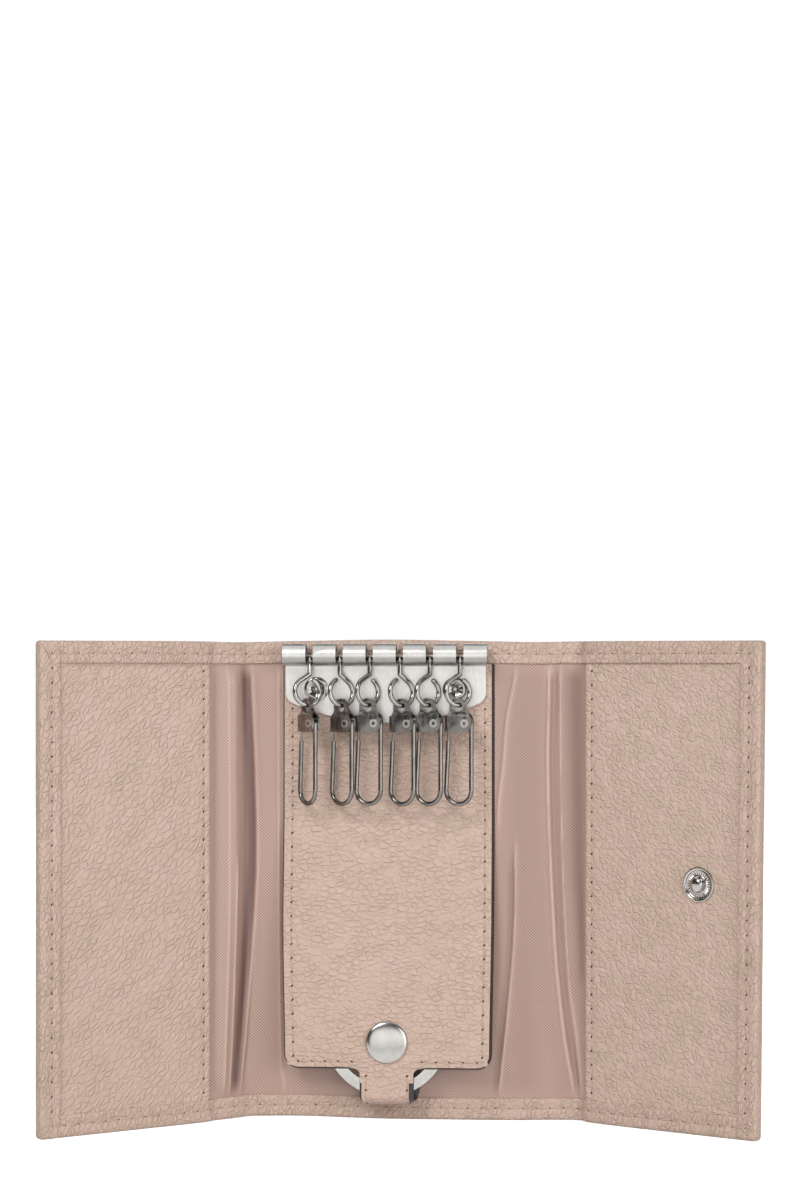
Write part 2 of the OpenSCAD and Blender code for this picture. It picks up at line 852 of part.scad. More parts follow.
// A cap with a rolled rim, its shank running back through the leather
module snap_cap(shank_l) {
    rim = cap_h / 3;
    translate([0, -rim, 0]) dome(cap_d, cap_h - rim);
    y_cylinder(cap_d / 2, -rim, 0);
    y_cylinder(snap_shank_d / 2, 0, shank_l);
}

module snap_knob(h) {
    neck_r = knob_d / 2 * 0.88;
    y_cylinder(neck_r, -h, 0);
    intersection() {
        y_cylinder(knob_d / 2, -h, 0);
        translate([0, knob_d / 2 - h, 0]) sphere(d = knob_d);
    }
}

// A stud's base: a ring round a dished middle that carries the knob
module stud_base(t) {
    rim = snap_base_d / 2 - t;
    difference() {
        y_cylinder(snap_base_d / 2, -t, 0);
        y_cylinder(rim, -t - overrun, -t * 0.6);
    }
}

module panel_snap_cap() {
    color(nickel_color) panel_lower_frame() translate([0, 0, -snap_centre]) snap_cap(panel_t);
}

panel_socket_t = tab_gap - snap_base_t - tuck_gap;

module panel_snap_socket() {
    color(nickel_color) panel_lower_frame() translate([0, panel_t, -snap_centre]) difference() {
        union() {
            y_cylinder(snap_base_d / 2, 0, panel_socket_t / 3);
            y_cylinder(snap_base_d / 2 - rail_t, 0, panel_socket_t);
        }
        y_cylinder(knob_d / 2 + knob_gap, panel_socket_t / 3, panel_socket_t + overrun);
    }
}

module tail_snap_stud() {
    color(nickel_color) panel_lower_frame() translate([0, tail_y, -snap_centre]) {
        stud_base(snap_base_t);
        translate([0, -snap_base_t * 0.5, 0]) snap_knob(panel_knob_h + snap_base_t * 0.5);
    }
}

module tail_snap_post() {
    color(nickel_color) panel_lower_frame() translate([0, tail_y, -snap_centre]) {
        y_cylinder(snap_shank_d / 2, 0, panel_t);
        y_cylinder(snap_base_d / 2, panel_t, panel_t + snap_base_t);
    }
}

module closing_stud() {
    color(nickel_color) right_flap_frame()
        translate([closure_x, turn_t - facing_t, closure_z]) {
            stud_base(snap_base_t);
            translate([0, -snap_base_t * 0.5, 0]) snap_knob(closing_knob_h + snap_base_t * 0.5);
        }
}

module closing_stud_cap() {
    color(nickel_color) right_flap_frame() translate([closure_x, case_t, closure_z])
        mirror([0, 1, 0]) snap_cap(case_t + facing_t - turn_t);
}

socket_post_t = board_t / 2;
socket_depth = socket_proud + sheet_t;

module closing_socket() {
    color(nickel_color) left_flap_frame() translate([closure_x, case_t, closure_z]) difference() {
        union() {
            y_cylinder(snap_base_d / 2, 0, socket_proud * 0.7);
            y_cylinder(snap_base_d / 2 - rail_t, 0, socket_proud);
            y_cylinder(socket_barrel_r, -sheet_t, 0);
        }
        y_cylinder(knob_d / 2 + knob_gap, -sheet_t - overrun, socket_proud + overrun);
    }
}

// The post's flange lies in a hole of the board, behind the lining
module closing_socket_post() {
    color(nickel_color) left_flap_frame() translate([closure_x, board_y, closure_z])
        y_cylinder(snap_base_d / 2 - shank_gap, 0, socket_post_t);
}

spine_shell();
left_gusset_shell();
right_gusset_shell();
left_flap_shell();
right_flap_shell();
spine_lining();
left_gusset_lining();
right_gusset_lining();
left_flap_lining();
right_flap_lining();
spine_board();
left_flap_board();
right_flap_board();
left_facing();
right_facing();
panel_upper();
panel_upper_backing();
panel_lower();
panel_lower_backing();
tab_tail();
rail_plate();
rail_rivets();
split_ring();
panel_snap_cap();
panel_snap_socket();
tail_snap_stud();
tail_snap_post();
closing_stud();
closing_stud_cap();
closing_socket();
closing_socket_post();
for (i = [1 : hooks]) {
    key_hook(i - 1);
    clip_body(i - 1);
    clip_rivet(i - 1);
    clip_bail(i - 1);
}
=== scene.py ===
# Tri-fold leather key case, open like a screen, with its key rail, six hooks and a hanging panel
import bpy, bmesh, math
from mathutils import Vector, Matrix


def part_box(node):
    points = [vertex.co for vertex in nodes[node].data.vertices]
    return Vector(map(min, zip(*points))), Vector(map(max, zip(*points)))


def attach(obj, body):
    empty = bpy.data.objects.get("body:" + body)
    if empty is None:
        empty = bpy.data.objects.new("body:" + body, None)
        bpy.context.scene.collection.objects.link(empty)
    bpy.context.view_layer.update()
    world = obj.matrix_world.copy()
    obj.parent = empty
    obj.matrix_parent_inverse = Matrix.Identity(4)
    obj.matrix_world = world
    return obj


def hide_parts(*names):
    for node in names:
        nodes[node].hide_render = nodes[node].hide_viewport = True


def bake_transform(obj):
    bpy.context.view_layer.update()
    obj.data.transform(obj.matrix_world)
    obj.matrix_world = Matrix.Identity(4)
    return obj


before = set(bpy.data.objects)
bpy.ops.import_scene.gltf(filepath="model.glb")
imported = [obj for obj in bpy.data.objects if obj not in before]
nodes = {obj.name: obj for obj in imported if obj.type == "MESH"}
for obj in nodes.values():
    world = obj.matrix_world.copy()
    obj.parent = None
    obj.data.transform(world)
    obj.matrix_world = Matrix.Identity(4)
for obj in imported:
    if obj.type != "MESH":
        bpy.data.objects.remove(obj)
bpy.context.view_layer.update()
mm = 0.001
print("frame loaded:", len(nodes), "nodes")

# Camera
cameraSetup = {"lens": 80.4, "distance": 650, "turn": 4.0, "aimX": 3.4, "aimY": -1.25, "height": 111.6,
               "shiftUp": 0.0495}


def makeCamera(c):
    turn = math.radians(c["turn"])
    data = bpy.data.cameras.new("photoCamera")
    data.lens, data.sensor_width, data.shift_y = c["lens"], 36, c["shiftUp"]
    data.clip_start, data.clip_end = 0.01, 50
    camera = bpy.data.objects.new("photoCamera", data)
    bpy.context.scene.collection.objects.link(camera)
    camera.location = (mm * (c["aimX"] + c["distance"] * math.sin(turn)),
                       mm * (c["aimY"] - c["distance"] * math.cos(turn)), mm * c["height"])
    camera.rotation_euler = (math.radians(90), 0, turn)
    bpy.context.scene.camera = camera


makeCamera(cameraSetup)

# Modelling helpers


def clearSelection():
    for obj in list(bpy.context.selected_objects):
        obj.select_set(False)


def choose(obj):
    clearSelection()
    bpy.context.view_layer.objects.active = obj
    obj.select_set(True)


def startEditing(obj):
    choose(obj)
    bpy.ops.object.mode_set(mode="EDIT")


def stopEditing():
    bpy.ops.object.mode_set(mode="OBJECT")


def named(name):
    # names what was just added or joined, and applies its transform
    obj = bpy.context.active_object
    obj.name = obj.data.name = name
    bpy.ops.object.transform_apply(location=True, rotation=True, scale=True)
    return obj


def block(name, low, high):
    # a box between two corners given in millimetres
    clearSelection()
    centre = [(a + b) / 2 * mm for a, b in zip(low, high)]
    size = [(b - a) * mm for a, b in zip(low, high)]
    bpy.ops.mesh.primitive_cube_add(size=1, location=centre, scale=size)
    return named(name)


def pick(obj, kind, test):
    # in edit mode, selects the items of a kind (verts, edges or faces) that pass the test, and counts them
    bpy.ops.mesh.select_mode(type=kind[:-1].upper())
    bpy.ops.mesh.select_all(action="DESELECT")
    mesh = bmesh.from_edit_mesh(obj.data)
    found = 0
    for item in getattr(mesh, kind):
        if test(item):
            item.select_set(True)
            found += 1
    mesh.select_flush_mode()
    bmesh.update_edit_mesh(obj.data)
    return found


def cutAcross(axis, places):
    # cuts the whole piece across one axis, at places in millimetres
    for place in places:
        point, normal = [0, 0, 0], [0, 0, 0]
        point[axis], normal[axis] = place * mm, 1
        bpy.ops.mesh.select_all(action="SELECT")
        bpy.ops.mesh.bisect(plane_co=point, plane_no=normal)


def bevel(width, segments, clamp=True):
    bpy.ops.mesh.bevel(offset=width * mm, segments=segments, profile=0.5, clamp_overlap=clamp)


def pressed(obj, depth):
    # moves every vertex along y by what depth gives for its place, in millimetres, in object or edit mode
    editing = obj.mode == "EDIT"
    mesh = bmesh.from_edit_mesh(obj.data) if editing else obj.data
    for v in mesh.verts if editing else mesh.vertices:
        v.co.y += depth(v.co / mm) * mm
    if editing:
        bmesh.update_edit_mesh(obj.data)


def hump(distance, width):
    return math.exp(-(distance / width) ** 2)


def near(value, *targets):
    # whether a length in metres lies within 0.02 mm of one of the targets in millimetres
    return any(abs(value / mm - t) < 0.02 for t in targets)


def steps(low, high, step):
    count = max(1, round((high - low) / step))
    return [low + (high - low) * i / count for i in range(count + 1)]


def smooth(obj, angle):
    choose(obj)
    bpy.ops.object.shade_smooth_by_angle(angle=math.radians(angle))


def applyModifier(obj, kind, **settings):
    modifier = obj.modifiers.new(kind, kind)
    for key, value in settings.items():
        setattr(modifier, key, value)
    choose(obj)
    bpy.ops.object.modifier_apply(modifier=modifier.name)


def joined(pieces, name):
    clearSelection()
    for obj in pieces:
        obj.select_set(True)
    bpy.context.view_layer.objects.active = pieces[0]
    bpy.ops.object.join()
    return named(name)


def turned(name, centre, profile, count):
    # a piece turned about an axis along y: a disc extruded ring by ring through (radius, y) in millimetres
    clearSelection()
    radius, y = profile[0]
    bpy.ops.mesh.primitive_circle_add(
        vertices=count, radius=radius * mm, fill_type="NGON", rotation=(math.radians(90), 0, 0),
        location=(centre[0] * mm, (centre[1] + y) * mm, centre[2] * mm))
    obj = named(name)
    startEditing(obj)
    bpy.ops.mesh.select_mode(type="FACE")
    bpy.ops.mesh.select_all(action="SELECT")
    for nextRadius, nextY in profile[1:]:
        bpy.ops.mesh.extrude_region_move(TRANSFORM_OT_translate={"value": (0, (nextY - y) * mm, 0)})
        grow = nextRadius / radius
        bpy.ops.transform.resize(value=(grow, 1, grow), center_override=(centre[0] * mm, 0, centre[2] * mm))
        radius, y = nextRadius, nextY
    bpy.ops.mesh.select_all(action="SELECT")
    bpy.ops.mesh.normals_make_consistent(inside=False)
    stopEditing()
    return obj


def ribbed(obj, centre, reach, every, lift):
    # presses radial ribs into the front of a turned piece, between two radii
    for v in obj.data.vertices:
        x, z = v.co.x / mm - centre[0], v.co.z / mm - centre[2]
        step = round(math.degrees(math.atan2(z, x)) / 360 * every * 2)
        if reach[0] < math.hypot(x, z) < reach[1] and step % 2:
            v.co.y += lift * mm


def settle(obj, place):
    # keeps the flat place for the grain to follow, then moves every point to where it goes
    mesh = obj.data
    flat = mesh.attributes.get("flatPlace") or mesh.attributes.new("flatPlace", "FLOAT_VECTOR", "POINT")
    points = [v.co.copy() for v in mesh.vertices]
    flat.data.foreach_set("vector", [c for p in points for c in p])
    for vertex, p in zip(mesh.vertices, points):
        vertex.co = place(p)
    mesh.update()


# How the case folds
# Everything soft is modelled flat: x runs along the opened case, y into the leather, z up
caseForm = {
    "height": 116, "spineHalf": 33, "innerY": -1.25, "thick": 2.5, "border": 5.3, "zone": 2.6,
    "gusset": {-1: 9.0, 1: 13.4}, "flap": {-1: 47.4, 1: 49.4},
    "innerFold": {-1: 35.0, 1: 0.0}, "outerFold": {-1: 2.0, 1: 30.3},
    "taper": {-1: 0.0, 1: 1.3}, "raise": 0.8, "facingTop": -0.12, "liningTop": 0.6,
    "stitchIn": 2.95, "pitch": 3.4}


def softStep(t):
    t = min(1.0, max(0.0, t))
    return t * t * (3 - 2 * t)


def outerFoldAt(side):
    return caseForm["spineHalf"] + caseForm["gusset"][side]


def freeEdgeAt(side):
    return outerFoldAt(side) + caseForm["flap"][side]


def midGusset(side):
    return caseForm["spineHalf"] + caseForm["gusset"][side] / 2


def edgeWave(u, z):
    # the long edges aren't quite straight: the top lifts over the rail, the bottom lifts left of the middle
    share = z / caseForm["height"]
    top = 0.42 * hump(u, 17) - 0.22 * hump(abs(u) - 36, 8)
    bottom = 0.5 * hump(u + 22, 15) + 0.25 * hump(u - 43, 9)
    return top * max(0, share) ** 4 + bottom * max(0, 1 - share) ** 4


def foldedPlace(p):
    f = caseForm
    u, v, z = p[0] / mm, p[1] / mm, p[2] / mm
    side = 1 if u >= 0 else -1
    low = 1 - z / f["height"]
    s = abs(u) - outerFoldAt(side)
    v += 0.05 * softStep((s - 4) / 12) * math.sin(z / 19 + u / 15) * math.cos(z / 43)
    v += 0.1 * math.sin(z / 16) * hump(abs(u) - 36, 6)
    turn = -math.radians(f["outerFold"][side]) * softStep((s + f["zone"]) / (2 * f["zone"]))
    if s > 0:
        s *= 1 - f["taper"][side] * low / f["flap"][side]
    x = s * math.cos(turn) - v * math.sin(turn) + f["gusset"][side]
    y = s * math.sin(turn) + v * math.cos(turn)
    turn = -math.radians(f["innerFold"][side]) * softStep((x + f["zone"]) / (2 * f["zone"]))
    x, y = x * math.cos(turn) - y * math.sin(turn), x * math.sin(turn) + y * math.cos(turn)
    return Vector((side * (x + f["spineHalf"]), y + f["innerY"], z + edgeWave(u, z))) * mm


def bendWithCase(obj, part):
    # part: leftFlap, leftBack, rightBack or rightFlap
    side = -1 if part.startswith("left") else 1
    fold = outerFoldAt(side) if part.endswith("Flap") else caseForm["spineHalf"]
    zone = caseForm["zone"]
    points = [foldedPlace(Vector((side * (fold + s), 0, 58)) * mm) for s in (-zone, zone)]
    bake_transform(obj)


def raisedBy(s):
    # how far the flap's turned edge stands proud, at a distance past the outer fold
    return caseForm["raise"] * softStep((s - 0.8) / 2.4)


def seamProfile(d):
    # leather pulled down along the stitches, and crowned on both sides of them
    return 0.17 * hump(d - caseForm["stitchIn"], 0.42) - 0.07 * hump(d - 4.4, 0.6) - 0.05 * hump(d - 1.6, 0.5)


print("helpers ready")

# Materials


def nodeGroup(name, inputs, outputs):
    # inputs and outputs: the sockets' names and kinds
    group = bpy.data.node_groups.new(name, "ShaderNodeTree")
    for way, wanted in (("INPUT", inputs), ("OUTPUT", outputs)):
        for socketName, kind in wanted.items():
            group.interface.new_socket(name=socketName, in_out=way, socket_type="NodeSocket" + kind)
    return group, group.nodes.new("NodeGroupInput"), group.nodes.new("NodeGroupOutput")


def feed(tree, made, inputs):
    # links sockets to a node's inputs and sets plain values on them
    for key, value in inputs.items():
        if isinstance(value, bpy.types.NodeSocket):
            tree.links.new(value, made.inputs[key])
        else:
            made.inputs[key].default_value = value


def node(tree, kind, settings=None, inputs=None):
    made = tree.nodes.new("ShaderNode" + kind)
    for key, value in (settings or {}).items():
        setattr(made, key, value)
    feed(tree, made, inputs or {})
    return made


def calc(tree, operation, a, b, clamp=False):
    return node(tree, "Math", {"operation": operation, "use_clamp": clamp}, {0: a, 1: b}).outputs[0]


def times(tree, a, b, clamp=False):
    return calc(tree, "MULTIPLY", a, b, clamp)


def noise(tree, place, scale, detail, roughness=0.5):
    return node(tree, "TexNoise", None, {"Vector": place, "Scale": scale, "Detail": detail, "Roughness": roughness})


def remap(tree, value, low, high, first=0.0, last=1.0, kind="LINEAR"):
    # carries the range from low to high over to the range from first to last
    return node(tree, "MapRange", {"interpolation_type": kind},
                {"Value": value, "From Min": low, "From Max": high, "To Min": first, "To Max": last}).outputs[0]


def relief(tree, height, strength, distance):
    return node(tree, "Bump", None, {"Height": height, "Strength": strength, "Distance": distance}).outputs[0]


def makePebbleGrain():
    # pebbled leather: wandering cells with fine creases that come and go, smaller ones inside, and pores
    group, start, end = nodeGroup("pebbleGrain", {"Place": "Vector", "Cells": "Float", "Wander": "Float"},
                                  {"Height": "Float", "Crease": "Float", "Mottle": "Float"})
    place, cells = start.outputs["Place"], start.outputs["Cells"]

    def cloud(source, share, detail, roughness=0.5):
        return noise(group, source, times(group, cells, share), detail, roughness)

    def wandered(share, reach, source):
        centred = node(group, "VectorMath", {"operation": "SUBTRACT"},
                       {0: cloud(place, share, 2.0).outputs["Color"], 1: (0.5, 0.5, 0.5)}).outputs[0]
        size = times(group, calc(group, "DIVIDE", start.outputs["Wander"], cells), reach)
        shift = node(group, "VectorMath", {"operation": "SCALE"}, {0: centred, "Scale": size}).outputs[0]
        return node(group, "VectorMath", {"operation": "ADD"}, {0: shift, 1: source}).outputs[0]

    def creases(source, share, width):
        cell = node(group, "TexVoronoi", {"feature": "DISTANCE_TO_EDGE"},
                    {"Vector": source, "Scale": times(group, cells, share)})
        return remap(group, cell.outputs["Distance"], 0.0, width, 1.0, 0.0, "SMOOTHSTEP")

    def fade(share, low, high, least):
        return remap(group, cloud(place, share, 1.0).outputs["Fac"], low, high, least, 1.0, "SMOOTHSTEP")

    moved = wandered(2.2, 0.5, wandered(0.5, 2.2, place))
    big = times(group, creases(moved, 1.0, 0.2), fade(0.42, 0.34, 0.56, 0.65))
    small = times(group, creases(moved, 2.1, 0.3), fade(0.3, 0.4, 0.6, 0.2))
    pores, swell = cloud(place, 4.0, 2.0, 0.6), cloud(moved, 0.8, 1.0)
    height = calc(group, "SUBTRACT", times(group, swell.outputs["Fac"], 0.45), times(group, big, 0.75))
    height = calc(group, "SUBTRACT", height, times(group, small, 0.2))
    height = calc(group, "ADD", height, times(group, pores.outputs["Fac"], 0.16))
    feed(group, end, {"Height": calc(group, "ADD", height, 0.5), "Crease": big,
                      "Mottle": cloud(place, 0.2, 4.0, 0.6).outputs["Fac"]})
    return group


def makeTwill():
    # satin seen close: fine slanting ribs crossed by a weaker set, bright where the threads lie flat
    group, start, end = nodeGroup("satinTwill", {"Place": "Vector", "Ribs": "Float"},
                                  {"Height": "Float", "Tone": "Float"})
    place, ribs = start.outputs["Place"], start.outputs["Ribs"]

    def bands(angle, share, distortion):
        slanted = node(group, "Mapping", None, {"Vector": place, "Rotation": (0, math.radians(angle), 0)})
        wave = node(group, "TexWave", {"wave_type": "BANDS", "bands_direction": "X"},
                    {"Vector": slanted.outputs[0], "Scale": times(group, ribs, 0.314 * share),
                     "Distortion": distortion, "Detail": 1.0, "Detail Scale": 0.6})
        return wave.outputs["Fac"]

    height = calc(group, "ADD", times(group, bands(47, 1.0, 0.5), 0.68), times(group, bands(-43, 0.82, 0.8), 0.32))
    strong = remap(group, noise(group, place, 120.0, 2.0).outputs["Fac"], 0.35, 0.65, 0.45, 1.0)
    tone = calc(group, "ADD", times(group, calc(group, "SUBTRACT", height, 0.5), strong), 0.5, True)
    feed(group, end, {"Height": height, "Tone": tone})
    return group


pebbleGrain, satinTwill = makePebbleGrain(), makeTwill()


def srgb(r, g, b):
    return tuple((c / 255 / 12.92 if c <= 10 else ((c / 255 + 0.055) / 1.055) ** 2.4) for c in (r, g, b)) + (1,)


def newMaterial(name):
    material = bpy.data.materials.new(name)
    material.use_nodes = True
    tree = material.node_tree
    return material, tree, tree.nodes["Principled BSDF"]


def mixColor(tree, factor, a, b):
    made = node(tree, "Mix", {"data_type": "RGBA"}, {"Factor": factor, "A": a, "B": b})
    return made.outputs["Result"]


def flatPlace(tree):
    return node(tree, "Attribute", {"attribute_name": "flatPlace"}).outputs["Vector"]


def leather(name, s):
    material, tree, shader = newMaterial(name)
    slanted = node(tree, "Mapping", {"vector_type": "TEXTURE"},
                   {"Vector": flatPlace(tree), "Rotation": (0, math.radians(-s["slant"]), 0),
                    "Scale": (1 / s["squeeze"], 1, 1), "Location": (s["seed"], s["seed"] / 3, 0)})
    grain = node(tree, "Group", {"node_tree": pebbleGrain},
                 {"Place": slanted.outputs[0], "Cells": s["cells"], "Wander": s["wander"]})
    height = grain.outputs["Height"]
    color = mixColor(tree, remap(tree, grain.outputs["Mottle"], 0.3, 0.7), srgb(*s["low"]), srgb(*s["high"]))
    # the creases take their own colour: painted highlight where it is paler, painted shade where it is darker
    color = mixColor(tree, times(tree, grain.outputs["Crease"], s["paintedCreaseLight"]), color, srgb(*s["crease"]))
    feed(tree, shader, {"Base Color": color, "Normal": relief(tree, height, s["bump"], s["depth"]),
                        "Roughness": remap(tree, height, 0.0, 1.0, s["rough"] + 0.1, s["rough"] - 0.06),
                        "Specular IOR Level": 0.35, "Sheen Weight": 0.05, "Sheen Roughness": 0.5})
    return material


# crease: the colour painted along the creases, a painted highlight where paler than the leather, painted shade on the
# shell where darker
leatherTones = {"low": (197, 173, 155), "high": (207, 180, 167), "crease": (212, 188, 172), "rough": 0.52,
                "bump": 1.0, "depth": 0.00027}
shellLeather = leather("shellLeather", {
    **leatherTones, "slant": 68, "squeeze": 0.6, "cells": 880, "wander": 0.28, "crease": (166, 138, 122),
    "paintedCreaseLight": 0.12, "seed": 0.31})
facingLeather = {
    -1: leather("leftFacingLeather", {
        **leatherTones, "slant": 41, "squeeze": 0.55, "cells": 760, "wander": 0.2, "paintedCreaseLight": 0.08, "seed": 0.72}),
    1: leather("rightFacingLeather", {
        **leatherTones, "slant": -30, "squeeze": 0.75, "cells": 760, "wander": 0.2, "crease": (216, 192, 176),
        "paintedCreaseLight": 0.5, "seed": 0.47})}
panelLeather = leather("panelLeather", {
    **leatherTones, "slant": 4, "squeeze": 0.62, "cells": 800, "wander": 0.3, "paintedCreaseLight": 0.1, "seed": 0.13})


def makeSatin(s):
    material, tree, shader = newMaterial("roseSatin")
    twill = node(tree, "Group", {"node_tree": satinTwill}, {"Place": flatPlace(tree), "Ribs": s["ribs"]})
    color = mixColor(tree, twill.outputs["Tone"], srgb(*s["low"]), srgb(*s["high"]))
    # painted light from the creases: paler towards the highlight colour on their ridges, darker towards the shade
    # colour in their valleys and beside the facings
    paintedLight = node(tree, "Attribute", {"attribute_name": "paintedLight"}).outputs["Fac"]
    color = mixColor(tree, times(tree, paintedLight, 1.0, True), color, srgb(*s["paintedLight"]))
    color = mixColor(tree, times(tree, paintedLight, -1.0, True), color, srgb(*s["fold"]))
    feed(tree, shader, {"Base Color": color, "Normal": relief(tree, twill.outputs["Height"], 0.5, 0.00007),
                        "Roughness": 0.34, "Specular IOR Level": 0.7, "Anisotropic": 0.4,
                        "Sheen Weight": 0.15, "Sheen Roughness": 0.35})
    return material


# the last two colours are the creases' painted highlight and painted shade
roseSatin = makeSatin({"ribs": 1950, "low": (128, 98, 86), "high": (212, 180, 166),
                       "paintedLight": (228, 199, 184), "fold": (104, 72, 62)})


def plainFinish(name, color, rough, speckle, cells):
    material, tree, shader = newMaterial(name)
    fleck = noise(tree, flatPlace(tree), cells, 3.0).outputs["Fac"]
    darker = tuple(c * (1 - speckle) for c in color[:3]) + (1,)
    feed(tree, shader, {"Base Color": mixColor(tree, remap(tree, fleck, 0.3, 0.7), darker, color),
                        "Normal": relief(tree, fleck, 0.3, 0.00006), "Roughness": rough})
    return material


edgePaintAndShade = plainFinish("edgePaintAndShade", srgb(58, 49, 48), 0.45, 0.35, 700)
thread = plainFinish("thread", srgb(206, 180, 160), 0.6, 0.3, 4000)
needleShade = plainFinish("needleShade", srgb(70, 48, 40), 0.8, 0.3, 2000)


def metal(name, s):
    # nickel: a stretched grain in roughness and bump, a little cloudiness in its tone, and darker bands across z,
    # which are painted shade standing in for the dark the tube reflects at its top edge and underneath
    material, tree, shader = newMaterial(name)
    place = node(tree, "TexCoord").outputs["Object"]
    drawn = node(tree, "Mapping", None, {"Vector": place, "Scale": s["drawn"]})
    lines = noise(tree, drawn.outputs[0], s["lines"], 3.0).outputs["Fac"]
    cloud = noise(tree, place, 260.0, 3.0).outputs["Fac"]
    tone = remap(tree, calc(tree, "ADD", times(tree, lines, 0.5), times(tree, cloud, 0.5)), 0.35, 0.65)
    color = mixColor(tree, tone, s["low"] + (1,), s["high"] + (1,))
    height = node(tree, "SeparateXYZ", None, {0: place}).outputs["Z"]
    # each band is painted shade across z, pulling the colour towards near black
    for middle, half, dark in s["bands"]:
        away = calc(tree, "ABSOLUTE", calc(tree, "SUBTRACT", height, middle * mm), 0.0)
        share = remap(tree, away, half * 0.4 * mm, half * mm, dark, 0.0, "SMOOTHSTEP")
        color = mixColor(tree, share, color, (0.1, 0.095, 0.09, 1))
    rough = remap(tree, lines, 0.3, 0.7, s["rough"] - s["spread"], s["rough"] + s["spread"])
    feed(tree, shader, {"Base Color": color, "Normal": relief(tree, lines, s["bump"], 0.00003),
                        "Roughness": rough, "Metallic": 1.0})
    return material


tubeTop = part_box("rail_plate")[1].z / mm
metalForm = {"drawn": (1, 1, 1), "lines": 1100.0, "rough": 0.2, "spread": 0.05, "bump": 0.1, "bands": []}
# its bands paint shade along the tube's top edge and its lower side
brushedSteel = metal("brushedSteel", {
    **metalForm, "drawn": (1, 1, 0.08), "lines": 4200.0, "low": (0.52, 0.505, 0.48), "high": (0.66, 0.645, 0.62),
    "rough": 0.38, "bump": 0.35, "bands": [(tubeTop, 0.8, 0.5), (tubeTop - 4.1, 1.3, 0.5)]})
darkNickel = metal("darkNickel", {
    **metalForm, "lines": 900.0, "low": (0.27, 0.255, 0.24), "high": (0.37, 0.355, 0.335), "rough": 0.19})
smokedNickel = metal("smokedNickel", {
    **metalForm, "drawn": (1, 1, 0.4), "low": (0.25, 0.235, 0.22), "high": (0.36, 0.34, 0.325), "rough": 0.3,
    "spread": 0.06})
wireNickel = metal("wireNickel", {
    **metalForm, "drawn": (1, 1, 0.3), "low": (0.16, 0.15, 0.14), "high": (0.25, 0.237, 0.225)})
paleNickel = metal("paleNickel", {
    **metalForm, "lines": 420.0, "low": (0.39, 0.38, 0.36), "high": (0.48, 0.467, 0.447), "spread": 0.02,
    "bump": 0.02})
print("materials ready")

# Shell
shellParts = {
    "leftFlap": {"side": -1, "replaces": ["left_flap_shell", "left_flap_board"],
                 "lining": ["left_flap_lining"]},
    "leftBack": {"side": -1, "replaces": ["left_gusset_shell", "spine_shell"],
                 "lining": ["left_gusset_lining", "spine_lining"]},
    "rightBack": {"side": 1, "replaces": ["right_gusset_shell", "spine_board"],
                  "lining": ["right_gusset_lining"]},
    "rightFlap": {"side": 1, "replaces": ["right_flap_shell", "right_flap_board"],
                  "lining": ["right_flap_lining"]}}
shellForm = {
    # how far the border's cuts lie from an edge, and about how far apart the others are
    "borderCuts": [1.4, 2.2, 2.6, 2.95, 3.3, 3.7, 4.4], "foldStep": 0.52, "flapStep": 3.9, "backStep": 4.4,
    "recess": 0.9, "edgeRound": 0.85, "rimRound": 0.22, "underTurn": 0.13,
    "mitre": {"out": 0.2, "lean": 0.62, "half": 0.25, "sunk": 0.26},
    "socketHole": {"pastFold": 33, "z": 58.8, "radius": 2.3, "depth": 1.3}}


def spanOf(part):
    # where a part of the shell starts and ends, from the middle of the back outwards
    side = shellParts[part]["side"]
    return (midGusset(side), freeEdgeAt(side)) if part.endswith("Flap") else (0, midGusset(side))


def closeEnds(obj, places):
    # caps the open ends that meet the next part of the shell
    for place in places:
        if pick(obj, "edges", lambda e: e.is_boundary and all(near(v.co.x, place) for v in e.verts)):
            bpy.ops.mesh.edge_face_add()


